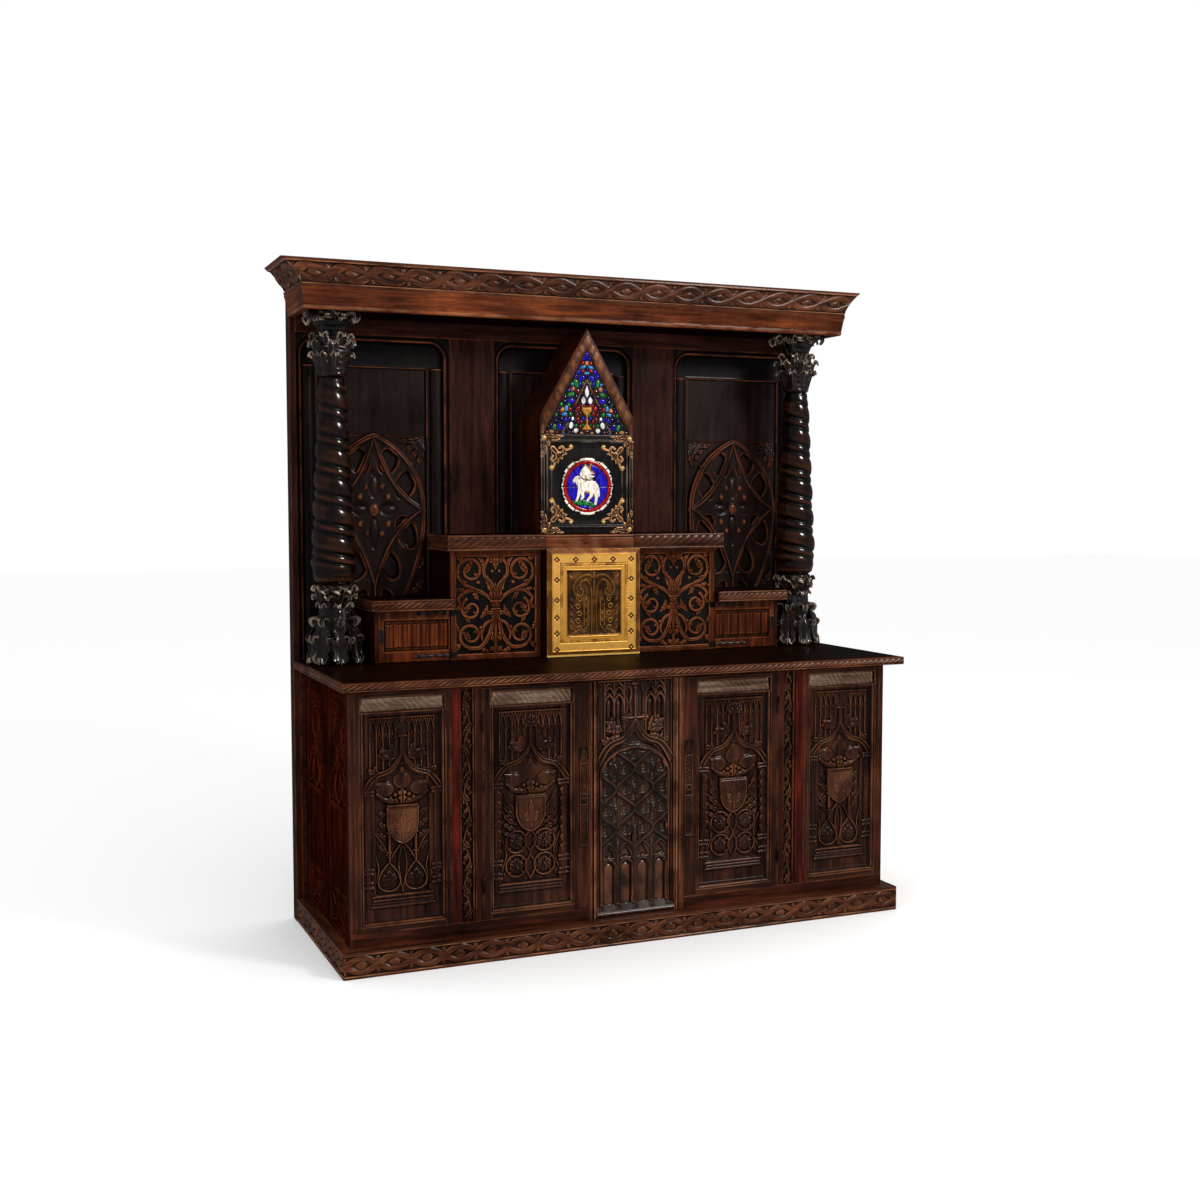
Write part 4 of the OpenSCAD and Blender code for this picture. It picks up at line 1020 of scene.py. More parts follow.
def door_panel(x, cx):
    """Cupboard door: ogee on leafy shafts, a broad leaf finial, a shield over four flowers."""
    c, both = traced_panel(x, (DOOR_Z[0] + BAY_MARGIN, DOOR_Z[1] - HEAD_RAIL), cx, (116, 640, 802, 862),
                           (132, 616, 740, 604, 11), (112, 612, 700, 250))
    for side in (-1, 1):
        rope_shaft(c, cx + side * 128, 14, 272, 596, 0)
    for k in range(7):
        both.leaf((124, 352 + 34 * k), (134, 386 + 34 * k), 9, 6, GROUND + 5, 2, 0.3)
        both.leaf((126, 344 + 34 * k), (116, 378 + 34 * k), 8, 6, GROUND + 5, 2, -0.3)
    for k in range(5):
        both.leaf((54, 420 + 20 * k), (108 - 3 * k, 440 + 34 * k), 8.5, 9, 5, 3, -0.18)
    for z in (397, 311):
        for side in (-1, 1):
            c.rib(arc(cx + side * 53, z, 39, 39), 2.8, 8, 4.5)
        both.rosette(53, z, 27, 6, 8, 5, 30)
        for turn in (45, 135, 225, 315):
            dx, dz = heading(turn)
            both.boss(53 + 33 * dx, z + 33 * dz, 4.5, 4.5, 7, 5)
    both.rib([(0, 440), (22, 400), (0, 354), (20, 311), (0, 262)], 2.4, 8, 5)
    both.rib([(110, 420), (90, 354), (110, 290)], 2.4, 7, 4)
    both.leaf((96, 268), (104, 296), 7, 6, 4.5, 2)
    trefoil(c, cx, 564)
    c.bar(cx, 52, 560, 4.2, 13, 6)
    ogee(c, cx, 138, 616, 742, 862)
    both.leaf((0, 812), (30, 838), 12, 11, GROUND + 1, 3, -0.3)
    both.leaf((0, 824), (20, 858), 10, 11, GROUND + 1, 2, -0.3)
    c.leaf((cx, 816), (cx, 866), 11, 12, GROUND + 1, 2)
    shield(c, cx, 432, 554, 6)
    for z, half, rise in ((246, 116, 7), (236, 112, 9), (224, 116, 7)):
        c.bar(cx, half, z, 4.6, rise, GROUND - 1)
    return c


def outer_bays():
    in_x, out_x = BAY_X[0] + BAY_MARGIN, BAY_X[1] - BAY_MARGIN
    upright, between = (BAY_Z[0] + GAP, BAY_Z[1] - GAP), (in_x + GAP, out_x - GAP)
    ranges = [(between, FRAME_REACH, (upright[0], BAY_Z[0] + FOOT_RAIL)),
              (between, FRAME_REACH, (BAY_Z[1] - HEAD_RAIL, upright[1])),
              ((BAY_X[0] + GAP, in_x), FRAME_REACH, upright), ((out_x, BAY_X[1] - GAP), FRAME_REACH, upright)]
    boards("bay_frames", ranges, "panel_oak", "panel_oak", ["outer_bay_frames"], mirrored=True)
    for name, side in SIDES:
        x = right_range(side, in_x, out_x)
        panel = bay_panel(x, side * (BAY_X[0] + BAY_X[1]) / 2)
        carved(f"{name}_bay_panel", panel, facing_front(PANEL_BACK), 0, wood("panel_oak", "z"), "panel_oak",
               ["outer_bay_panels", "bay_carvings"])
        head_chamfer(f"{name}_bay_head", x, BAY_Z[1] - HEAD_RAIL, "altar")


def lock_tracery(x):
    """Carved openwork over a lock plate: cusped rings, a pointed finial and leaves."""
    cx, half = (x[0] + x[1]) / 2, (x[1] - x[0]) / 2
    c = Carving(x, (362, 718), 0.9)
    both = Both(c, cx)
    both.post(half - 2.2, 366, 664, 1.8, 2.2, 0.6)
    both.rib([(half - 2.2, 664), (7, 690), (0, 714)], (1.8, 1.2), 2.4, 0.6)
    for z in (384, 412, 440, 468, 496, 568, 596, 624, 652):
        c.rib(arc(cx, z, 10, 12.5, count=24), 1.5, 2.0, 0.6)
        for turn in (45, 135, 225, 315):
            dx, dz = heading(turn)
            c.leaf((cx + 9 * dx, z + 11 * dz), (cx, z), 2.6, 1.8, 0.6, 1)
    c.rib(arc(cx, 544, 9, 9, count=24), 1.8, 2.6, 0.6)
    for z in (366, 514, 553, 664):
        c.bar(cx, half - 2, z, 2.0, 2.4, 0.6)
    c.leaf((cx, 668), (cx, 704), 5, 2.4, 0.6, 2)
    return c


def cupboard_doors():
    in_x, out_x = DOOR_X[0] + LOCK_STILE, DOOR_X[1] - HINGE_STILE
    for name, side in SIDES:
        body = f"{name}_door"
        x = right_range(side, in_x, out_x)
        between = right_range(side, in_x + GAP, out_x - GAP)
        ranges = [(right_range(side, DOOR_X[0], in_x), DOOR_REACH, DOOR_Z),
                  (right_range(side, out_x, DOOR_X[1]), DOOR_REACH, DOOR_Z),
                  (between, DOOR_REACH, (DOOR_Z[0], DOOR_Z[0] + BAY_MARGIN)),
                  (between, DOOR_REACH, (DOOR_Z[1] - HEAD_RAIL, DOOR_Z[1]))]
        boards(f"{name}_door_stiles", ranges, "panel_oak", "panel_oak", [f"{name}_door_frame"], body=body)
        carved(f"{name}_door_tracery", door_panel(x, side * 406), facing_front(PANEL_BACK), 0,
               wood("panel_oak", "z"), "panel_oak", [f"{name}_door_panel", f"{name}_door_carving"], body)
        head_chamfer(f"{name}_door_head", x, DOOR_Z[1] - HEAD_RAIL, body)
        plate = lock_tracery(right_range(side, DOOR_X[0] + 2, DOOR_X[0] + 34))
        carved(f"{name}_lock_tracery", plate, facing_front(DOOR_REACH[1] + 3), -0.5, wood("panel_oak", "z"),
               "panel_oak", body=body, pierced=True)


# ---- Middle bay ----------------------------------------------------------------------------

CENTRE_X, _, CENTRE_Z = node_mm("centre_frame")
CENTRE_HALF = 154.0
CENTRE_BACK = node_mm("centre_panel")[1][0]
CENTRE_GROUND = 13.0


def net_tracery(c):
    """A net of ogee-sided lozenges, each round four sunk foils, over four small arches."""
    wide, rise = 75, 75
    foils = [(0, 35, 21, 24), (0, -33, 21, 24), (36, 1, 22, 23), (-36, 1, 22, 23)]
    for row in range(6):
        for col in (-2, 0, 2) if row % 2 == 0 else (-1, 1):
            x, z = col * wide, 405 + row * rise
            net = Both(c, x)
            for dx, dz, rx, rz in foils:
                c.hollow(ellipse(x + dx, z + dz, rx, rz), 3.0, 15)
            for way in (-1, 1):
                net.rib([(0, z + way * rise), (7, z + way * 61), (37.5, z + way * 37.5), (68, z + way * 14),
                         (wide, z)],
                        8.5, 8.5, 12.5, "keel")
                net.boss(21, z + way * 19, 5, 5, 5, 12)
            c.boss(x, z, 8, 8, 6, 10)
    for x in (-102, -34, 34, 102):
        c.hollow(lancet(x, 24, 300, 344), 3.0, 6)
        c.hollow(on_legs(lancet(x, 27, 262, 290), 128), 3.0, 7)
        c.rib(lancet(x, 33, 306, 356), 4.5, 4.5, CENTRE_GROUND, "keel")
        c.rib(lancet(x, 30, 262, 296), 4.0, 4, CENTRE_GROUND, "keel")
        c.boss(x, 302, 8, 6, 6, 11)
        c.rib([(x, 130), (x, 262)], 19, 6, 3, "soft")
    Both(c).post(68, 132, 356, 6, 5, CENTRE_GROUND, "keel")
    c.rib([(0, 128), (0, 412)], (11, 8), 6, CENTRE_GROUND, "keel")


def centre_panel():
    """Middle bay: an ogee with crockets over a round-headed net of tracery, lancets beside its stem."""
    c = Carving((-CENTRE_HALF, CENTRE_HALF), (95, CENTRE_Z[1]), 1.65)
    ground, both = CENTRE_GROUND, Both(c)
    c.level(np.interp(CENTRE_HALF - np.abs(c.x), [0, 2, 5, 8, 12], [26, 24, 17, 22, ground]))
    for side in (-1, 1):
        for x in (side * 63, side * 101):
            c.hollow(np.vstack([lancet(x, 15, 872, 896), [(x + 15, 760), (x - 15, 700)]]), 4, 6)
            c.hollow(lancet(x, 14, 905, 938), 4, 5)
            c.rib([(x, 760), (x, 868)], 9, 5, 4, "soft")
        c.hollow(np.vstack([lancet(side * 24, 13, 900, 930),
                            [(side * 11 + side * 26, 815), (side * 11, 830)]]), 4, 6)
        for x in (43, 82, 120):
            c.rib([(side * x, 700), (side * x, 955)], 3.6, 7, ground, "keel")
        c.rib(lancet(side * 82, 39, 905, 956), 4.0, 6, ground)
        for x in (side * 63, side * 101):
            c.rib(lancet(x, 19, 868, 900), 3.2, 6, ground)
            c.rib(lancet(x, 17, 900, 928), 2.6, 5, ground)
    c.bar(0, 150, 952, 4, 9, ground)
    arch = ogee_arch(0, 148, 652, 806)
    c.hollow(np.vstack([[(-150, 640)], arch, [(150, 640)]]), ground, 2)
    c.hollow(np.vstack([ogee_arch(0, 112, 668, 770), arc(0, 600, 140, 116, 30, 150, 20)]), 5, 7)
    keep = c.h.copy()
    net_tracery(c)
    inside = ((c.x / 134) ** 2 + (np.maximum(c.z - 600, 0) / 104) ** 2 < 1) & (c.z > 128)
    c.h = np.where(inside, c.h, keep)
    # Painted light: the low foils of the net are lightened as if lit inside, and its ribs darkened.
    c.rubbing_and_painted_light = np.where(inside, np.where(c.h < 9.5, 0.35, -0.25), 0.0)
    c.rib(np.vstack([[(134, 128)], arc(0, 600, 136, 106, 0, 180), [(-134, 128)]]), 8.5, 8, ground, "keel")
    for gap, half, rise in ((0, 13, 6), (-8, 4.0, 11), (8, 4.0, 11)):
        c.rib(np.stack([arch[:, 0] * (1 + gap / 148), arch[:, 1] + 0.7 * gap], 1), half, rise, ground)
    c.rib([(0, 800), (0, 938)], (8, 4.4), 11, ground, "keel")
    c.boss(0, 941, 15, 11, 13, ground)
    c.boss(0, 925, 8, 7, 10, ground)
    c.rib([(-46, 815), (46, 815)], (4, 6), 9, ground)
    both.boss(44, 816, 9, 7, 12, ground)
    for side in (-1, 1):
        for x, z, size in ((30, 806, 20), (62, 776, 36), (104, 722, 26)):
            crocket(c, side * x, z, size, side)
    for root, tip, wide, high, lobes, bow in (((56, 770), (118, 770), 20, 13, 4, 0.25),
                                              ((62, 752), (104, 742), 13, 12, 3, -0.2),
                                              ((66, 764), (92, 820), 17, 13, 3, -0.25),
                                              ((78, 770), (120, 806), 13, 12, 3, 0.2)):
        both.leaf(root, tip, wide, high, ground, lobes, bow)
    slope = np.interp(c.z, [95, 98, 103, 110, 131], [29, 31, 30, 25, 9])
    slope = slope - 3.0 * np.exp(-(((c.x + 170) % 68 - 34) / 9) ** 2) * (c.z > 112)
    c.h = np.where(c.z < 131, slope, c.h)
    return c


def centre_bay():
    carved("middle_bay_tracery", centre_panel(), facing_front(CENTRE_BACK), 0, wood("centre_oak", "z"),
           "centre_oak",
           ["centre_panel", "bay_carvings"])
    heap = Heap()
    for side in (-1, 1):
        x = sorted((side * CENTRE_HALF, side * (CENTRE_X[1] - GAP)))
        c = Carving(np.linspace(*x, 40), np.linspace(CENTRE_Z[0] + GAP, CENTRE_Z[1] - GAP, 60), 1.0)
        out = np.abs(c.x) - CENTRE_HALF
        c.level(np.interp(out, [0, 3, 5, 9, 12, 14, 19, 23, 25, 36],
                          [20, 25, 22, 27, 26, 20, 22, 27.5, 26, 28]))
        heap.add(*c.solid(facing_front(FRAME_REACH[0]), 0))
    heap.piece("middle_bay_stiles", [wood("carved_oak", "z")], "panel_oak", ["centre_frame"])


# ---- Cabinet sides and table top -----------------------------------------------------------

SIDE_STILES = ((0, 42), (292, 396), (642, FRAME_REACH[0]))
SIDE_FOOT, SIDE_HEAD = 91, 900


def side_panel(reach):
    """Two carved zones with a plain field between them."""
    c = Carving(reach, (SIDE_FOOT + 12, SIDE_HEAD), 2.0)
    mid, half = (reach[0] + reach[1]) / 2, (reach[1] - reach[0]) / 2
    wide, both, flower = half - 16, Both(c, mid), 792
    c.level(np.interp(half - np.abs(c.x - mid), [0, 3, 6, 10], [11, 11, 7, 6]))
    left, right = reach[0] + 12, reach[1] - 12
    for low, high in ((536, 895), (109, 236)):
        c.hollow([(left, low + 6), (right, low + 6), (right, high), (left, high)], 2.0, 4)
    for z_cord in (534, 240):
        for k in range(int(2 * half / 13)):
            x = reach[0] + 6 + 13 * k
            c.rib([(x, z_cord - 5), (x + 10, z_cord + 5)], 4.5, 5, 5)
    c.rosette(mid, flower, 44, 8, 8, 3, 22)
    for turn in range(0, 360, 30):
        dx, dz = heading(turn)
        c.leaf((mid + 62 * dx, flower + 62 * dz), (mid + 96 * dx, flower + 96 * dz), 13, 6, 2, 3, 0.3)
    c.rib(arc(mid, flower, 58, 58), 4, 8, 2)
    c.rib(ogee_arch(mid, wide, 620, 740), 5, 8, 2)
    c.rib([(mid, 738), (mid, 760)], 4, 8, 2)
    for x, z, size in ((0.86, 876, 34), (0.92, 780, 32), (0.84, 700, 30), (0.55, 858, 30)):
        both.leaf((0.35 * wide, z - 34), (x * wide, z), 0.45 * size, 7, 2, 4, -0.25)
    both.rib([(0, 548), (46, 590), (30, 650), (0, 700)], 4.2, 8, 2)
    both.rib([(wide, 556), (70, 580), (62, 640)], 3.6, 7, 2)
    both.leaf((66, 560), (92, 610), 13, 6, 2, 3, 0.2)
    both.leaf((0, 560), (20, 620), 12, 6, 2, 3, 0.2)
    for k in range(3):
        both.leaf((14, 172), (100 - 22 * k, 124 + 46 * k), 13, 7, 2, 4, 0.2 * (1 - k))
    both.rib([(wide, 120), (46, 140), (wide, 226)], 3.6, 7, 2)
    c.rosette(mid, 168, 34, 6, 8, 3)
    c.h = np.where(c.z < 109, np.interp(c.z, [103, 109], [12, 5]), c.h)
    c.h = np.minimum(c.h, 11.5)
    return c


def cabinet_sides():
    x, high = (1030, SIDE_FACE), TABLE_Z[0]
    panels = [(SIDE_STILES[0][1], SIDE_STILES[1][0]), (SIDE_STILES[1][1], SIDE_STILES[2][0])]
    ranges = [(x, reach, (SIDE_FOOT, high)) for reach in SIDE_STILES]
    for inner, outer in panels:
        for z in ((SIDE_FOOT, SIDE_FOOT + 12), (SIDE_HEAD, high)):
            ranges.append((x, (inner + GAP, outer - GAP), z))
    # The side boards and panels use the darker copy of red oak: painted shade.
    boards("side_stiles_and_rails", ranges, "side_oak", "red_oak", ["side_frames"], mirrored=True)
    for name, side in SIDES:
        for part, reach in zip(("rear", "front"), panels):
            carved(f"{name}_{part}_side_panel", side_panel(reach), facing_side(side, 1046), -11,
                   wood("side_oak", "z"), "red_oak", ["side_panels"])


def leafy_edge(x, z, rise, pitch):
    """A narrow band of slanting leaves between fillets."""
    c = Carving(x, z, 1.6)
    v = (c.z - z[0]) / (z[1] - z[0])
    fillets = np.interp(v, [0, 0.07, 0.12, 0.17, 0.85, 0.90, 0.95, 1], [0.4, 0.8, 0.7, 0, 0, 0.8, 0.95, 0.6])
    roll = np.sqrt(np.clip(1 - ((v - 0.51) / 0.35) ** 2, 0, 1))
    leaf = np.abs(np.sin(np.pi * ((c.x - x[0]) / pitch - 1.5 * v + 0.15 * np.sin(2 * np.pi * v)))) ** 0.9
    return c.level(rise * np.maximum(fillets, roll * (0.1 + 0.9 * leaf)))


def edge_band(name, x, reach, z, ends=(-1, 1), pitch=26.0):
    """Carved edges round the front and the chosen ends of a slab, mitred at its corners."""
    heap, rise, back = Heap(), 4.0, -8
    front = reach[1] - rise
    faces = {-1: x[0] + rise, 1: x[1] - rise}
    span = tuple(faces[side] if side in ends else x[(side + 1) // 2] for side in (-1, 1))
    middle, half = (span[0] + span[1]) / 2, (span[1] - span[0]) / 2

    def place(u, v, h):
        t = (u - middle) / half
        return at(u + h * t * np.isin(np.sign(t), ends), front + h, v)

    face = level_ends(leafy_edge(span, z, rise, pitch), [faces[side] for side in ends], 0.8 * rise)
    heap.add(*face.solid(place, back), which=0)
    for side in ends:
        end = level_ends(leafy_edge((reach[0], front), z, rise, pitch), (front,), 0.8 * rise)
        heap.add(*end.solid(facing_side(side, side * faces[side], front), back), which=1)
    heap.piece(name, [wood("carved_oak", "x"), wood("carved_oak", "y")], "carved_oak")


def table():
    lip, joint = 12.0, 315.0
    slab_x = (TABLE_X[0] + lip, TABLE_X[1] - lip)
    halves = ((TABLE_REACH[0], joint - GAP), (joint, TABLE_REACH[1] - lip))
    boards("table_boards", [(slab_x, reach, TABLE_Z) for reach in halves], "dark_oak", "dark_oak",
           ["table_top"])
    edge_band("table_edges", TABLE_X, TABLE_REACH, (TABLE_Z[0], TABLE_Z[1] - 1.5))


IRON = metal("black_iron", (52, 46, 43), (22, 19, 18), (150, 140, 132), 0.36)
plinth()
front_carcass()
vine_strips()
outer_bays()
cupboard_doors()
centre_bay()
cabinet_sides()
table()

# ---- Back board ----------------------------------------------------------------------------

BACK_X, BACK_REACH, BACK_Z = node_mm("back_frame")
PANEL_Z = (1000.0, 2226.0)
SUNK = 44.0  # depth of the back panels' ground behind the frame
ROUND = 80.0  # radius of the openings' upper corners
STILE_X_IN, MULLION_X = 1077, (300, 480)


def opening_depth(c, x, radius):
    """Distance inside a tall opening with round upper corners and no lower edge."""
    dx = np.abs(c.x - (x[0] + x[1]) / 2) - (x[1] - x[0]) / 2 + radius
    dz = c.z - PANEL_Z[1] + radius
    outside = np.hypot(np.maximum(dx, 0), np.maximum(dz, 0))
    return radius - outside - np.minimum(np.maximum(dx, dz), 0)


def almond_line(cx, half, top, middle, bottom, count=26):
    """A pointed oval, taller below its middle than above."""
    up = lancet(cx, half, middle, top, count)
    down = lancet(cx, half, middle, 2 * middle - bottom, count)
    down[:, 1] = 2 * middle - down[:, 1]
    return np.vstack([up, down[::-1][1:-1]])


def almond_tracery(c, cx):
    """A pointed oval round a four-pointed star of four dished petals, with cusped hollows beside it."""
    top, middle, bottom, half, star_bottom = 1846, 1565, 1080, 193, 1270
    level, both = 19.0, Both(c, cx)
    line = almond_line(cx, half, top, middle, bottom)
    c.plate(line, level - 2, 2, 4)
    cusps = ((58, 1752, 42, 56), (126, 1662, 40, 62), (128, 1478, 42, 70), (62, 1352, 38, 62),
             (58, 1205, 28, 62))
    for side in (-1, 1):
        for dx, z, rx, rz in cusps:
            c.hollow(ellipse(cx + side * dx, z, rx, rz, side * (-22 if z > middle else 20)), 2.0, 12)
        c.hollow(ellipse(cx + side * 56, middle + 6, 42, 34), 9, 26)
    for z, rz in ((1668, 64), (1478, 72)):
        c.hollow(ellipse(cx, z, 27, rz), 9, 24)
    tips = [(cx, top - 4), (cx + half - 2, middle), (cx, star_bottom), (cx - half + 2, middle)]
    corners = [(cx + 56, middle + 66), (cx + 52, middle - 78), (cx - 52, middle - 78), (cx - 56, middle + 66)]
    t = np.linspace(0, 1, 20)[:, None]
    for tip, corner, after in zip(np.array(tips), np.array(corners), np.array(tips[1:] + tips[:1])):
        side = (1 - t) ** 2 * tip + 2 * t * (1 - t) * corner + t ** 2 * after
        c.rib(side, 14, 6, level - 2, "keel")
        c.rib(side, 3.4, 4, level + 3)
    c.rib([(cx, star_bottom + 6), (cx, bottom + 6)], 13, 6, level - 2, "keel")
    c.rib([(cx, star_bottom), (cx, bottom + 10)], 4, 4, level + 3)
    c.rib(line, 13, 6, level - 1, "keel", closed=True)
    c.rib(line, 4, 4, level + 3, closed=True)
    proud = [(cx, middle, 19, 26)]
    for dx, dz in ((32, 88), (55, 50), (55, -54), (29, -92)):
        proud += [(cx + side * dx, middle + dz, 9.5, 12) for side in (-1, 1)]
    for x, z, rx, rz in proud:
        c.boss(x, z, rx, rz, 10, level - 3)
        c.rubbing_and_painted_light = np.where(np.hypot((c.x - x) / rx, (c.z - z) / rz) < 0.9, 0.7, c.rubbing_and_painted_light)
    for (dx, z), (ex, ez) in (((150, 1742), (98, 1700)), ((96, 1416), (160, 1400)), ((20, 1290), (70, 1286))):
        both.rib([(dx, z), ((dx + ex) / 2, (z + ez) / 2 + 8), (ex, ez)], (6, 3), 5, level - 3, "keel")
    c.boss(cx, middle + 82, 20, 50, 11, 8)
    c.boss(cx, middle - 86, 20, 58, 11, 8)
    both.boss(58, middle, 32, 21, 11, 8)
    for k in range(4):
        both.leaf((half + 8, 1842 - 5 * k), (96 + 26 * k, 1832 - 34 * k), 15, 8, 2, 4, 0.1)
    for z in (1380, 1290, 1200, 1120):
        both.leaf((half, z), (164 - (1380 - z) * 0.30, z - 50), 15, 7, 2, 3, 0.2)


def back_panel(x, traced):
    """A deep opening: worn bead, cove and a half-round moulding round a plain board."""
    c = Carving(x, PANEL_Z, 2.8)
    bed = SUNK - 32  # the level beside the half-round
    top_rail = PANEL_Z[1] - 116
    depth = opening_depth(c, x, ROUND)
    bead = np.interp(depth, [0, 3, 6, 10, 15, 20, 24, 30, 40], [0, 4, 10, 10, 5, 10, 24, 30, 32])
    slope = np.where(depth < 40, SUNK - bead, 0)
    side = np.minimum(c.x - x[0], x[1] - c.x)
    square = np.minimum(side - 82, top_rail - c.z)
    roll = bed + 17 * np.sqrt(np.clip(1 - ((side - 47) / 24) ** 2, 0, 1)) * (c.z < top_rail)
    ground = np.interp(square, [-8, -5, 0, 3], [bed, bed + 1, bed, 2])
    c.level(np.maximum(slope, np.where(square < 3, np.maximum(roll, ground), 2)))
    middle, half = (x[0] + x[1]) / 2, (x[1] - x[0]) / 2
    if traced:
        c.bar(middle, 212, 1848, 2.6, 4.5, 2)
        Both(c, middle).post(212, 1000, 1848, 2.6, 4.5, 2)
        almond_tracery(c, middle)
    field = (np.abs(c.x - middle) < half - 88) & (c.z < PANEL_Z[1] - 122)
    c.rubbing_and_painted_light += np.where(field & (c.z > 1850), 0.0, np.where(field, -0.08, -0.50))
    return c


def back_board():
    behind = (BACK_REACH[0], 0)
    stiles = [((STILE_X_IN, BACK_X[1]), behind, (0, BACK_Z[1])), (MULLION_X, behind, PANEL_Z)]
    boards("back_stiles_and_mullions", stiles, "back_oak", "back_oak", ["back_frame"], mirrored=True)
    between = (-STILE_X_IN + GAP, STILE_X_IN - GAP)
    rails = [(between, behind, (PANEL_Z[1] + GAP, BACK_Z[1])),
             (between, (BACK_REACH[0], -0.4), (4, PANEL_Z[0] - GAP))]
    boards("back_rails", rails, "back_oak", "back_oak")
    for name, x, nodes in (("left", (-STILE_X_IN, -MULLION_X[1]), ["back_panels", "almond_tracery"]),
                           ("middle", (-MULLION_X[0], MULLION_X[0]), ["back_panels"]),
                           ("right", (MULLION_X[1], STILE_X_IN), ["back_panels", "almond_tracery"])):
        c = back_panel((x[0] + GAP, x[1] - GAP), len(nodes) > 1)
        carved(f"{name}_back_panel", c, facing_front(-SUNK - 0.5), -14, wood("cove_oak", "z"), "back_oak",
               nodes)


# ---- Columns -------------------------------------------------------------------------------

COLUMN_X, COLUMN_REACH = 977.0, 155.0
BASE_Z = node_mm("column_bases")[2]
SHAFT_Z = node_mm("column_shafts")[2]
CAPITAL_Z = node_mm("column_capitals")[2]


def round_column(side, turn, radius, z):
    """Points in metres round a column's axis."""
    return at(side * COLUMN_X + radius * np.cos(turn), COLUMN_REACH - radius * np.sin(turn), z)


def turned(heap, side, span, radii, around=96, polish_off=0.0):
    """A closed round solid on a column's axis. radii gives mm for each angle and height."""
    turn, z = np.meshgrid(np.linspace(0, 2 * np.pi, around, endpoint=False),
                          np.arange(span[0], span[1] + 0.5, 2.5))
    r = radii(turn, z)
    rows = len(r)
    low, high = np.arange(around), (rows - 1) * around + np.arange(around)
    near = r.copy()
    for axis, reach in ((0, 9), (1, 5)):
        near = sum(np.roll(near, k, axis) for k in range(-reach, reach + 1)) / (2 * reach + 1)
    wear = np.clip((r - near) / 3.0 - polish_off, -1, 1)
    wear[:6] = wear[-6:] = 0
    faces = [lattice_faces(rows, around, around=True), low[::-1][None], high[None]]
    return heap.add(round_column(side, turn, r, z), faces, wear)


def twist(turn, z):
    """A barley-sugar twist: a broad roll and a narrow one side by side, round a tapering core."""
    core = np.interp(z, [1295, 1306, 1330, 1360, 2010, 2045, 2050], [62, 78, 84, 84, 53, 48, 40])
    pitch = 106.0
    phase = (z / pitch + turn / (2 * np.pi)) % 1.0
    broad = np.sqrt(np.clip(1 - ((phase - 0.34) / 0.31) ** 2, 0, 1))
    narrow = np.sqrt(np.clip(1 - ((phase - 0.83) / 0.15) ** 2, 0, 1))
    fade = np.interp(z, [1295, 1345, 1375, 2000, 2040], [0, 0.1, 1, 1, 0.4])
    return core * 0.93 + fade * core / 70 * np.maximum(9.5 * broad, 5.0 * narrow) - fade * 2.0


def leaf_blade(heap, side, turn, spine, widths, lobes, thick):
    """An acanthus leaf against a column: spine lists (radius, z) from root to curled tip."""
    rows, cols, cup = 26, 9, 0.25
    t, s = np.linspace(0, 1, rows), np.linspace(-1, 1, cols)[None, :]
    smooth = bend(*spine, count=60)
    along = np.linspace(0, 1, len(smooth))
    r, z = np.interp(t, along, smooth[:, 0]), np.interp(t, along, smooth[:, 1])
    w = np.interp(t, np.linspace(0, 1, len(widths)), widths)
    w = (1.15 * w * (0.70 + 0.30 * np.abs(np.sin(lobes * np.pi * (t + 0.12)))) + 0.6)[:, None]
    dr, dz = np.gradient(r), np.gradient(z)
    length = np.hypot(dr, dz) + 1e-9
    normal_r, normal_z = (dz / length)[:, None], (-dr / length)[:, None]
    t = t[:, None]
    vein = 2.6 * np.exp(-((s / 0.16) ** 2)) + 1.3 * np.cos(s * 9.0)
    ripple = 1.6 * np.sin(lobes * 2 * np.pi * t) * np.abs(s)
    rise = vein * np.sin(np.pi * t) ** 0.5 + ripple - cup * w * s ** 2
    # Painted highlight: the leaves' edges, veins and tips take the pale ridge colour.
    wear = 0.45 * np.abs(s) ** 3 + 0.30 * vein / 3 + 0.45 * t ** 2 - 0.25
    sheets = []
    for offset in (thick / 2, -thick / 2):
        out = r[:, None] + normal_r * (rise + offset)
        up = z[:, None] + normal_z * (rise + offset)
        sheets.append(round_column(side, turn + s * w / np.maximum(out, 24), out, up))
    rim = lattice_rim(rows, cols)
    nxt, count, faces = np.roll(rim, -1), rows * cols, lattice_faces(rows, cols)
    walls = np.stack([rim, rim + count, nxt + count, nxt], 1)
    heap.add(np.concatenate(sheets), [faces, faces[:, ::-1] + count, walls], np.concatenate([wear, wear]))


def base_core(turn, z):
    """The plain core of a column's base: a drum, a neck and a bulb under the shaft."""
    r = np.interp(z, [1000, 1010, 1050, 1062, 1110, 1140, 1214, 1235, 1268, 1290, 1295],
                  [60, 64, 64, 64, 64, 60, 47, 50, 66, 64, 58])
    leaf = np.abs(np.cos(4 * turn)) ** 1.5 * np.interp(z, [1000, 1050, 1214, 1240, 1295], [3, 4, 2, 6, 2])
    return r + leaf + 2.0 * np.sin(z / 4.0 + 8 * turn) * np.interp(z, [1230, 1245, 1285, 1295], [0, 1, 1, 0])


def capital_core(turn, z):
    """The core of a capital: a bulb and a spreading head."""
    r = np.interp(z, [2050, 2060, 2080, 2120, 2155, 2185, 2205, 2225, 2262, 2285],
                  [44, 50, 52, 60, 64, 54, 40, 52, 76, 80])
    return r + 2.2 * np.abs(np.sin(4 * turn + z / 16)) + 1.4 * np.sin(z / 3.2)


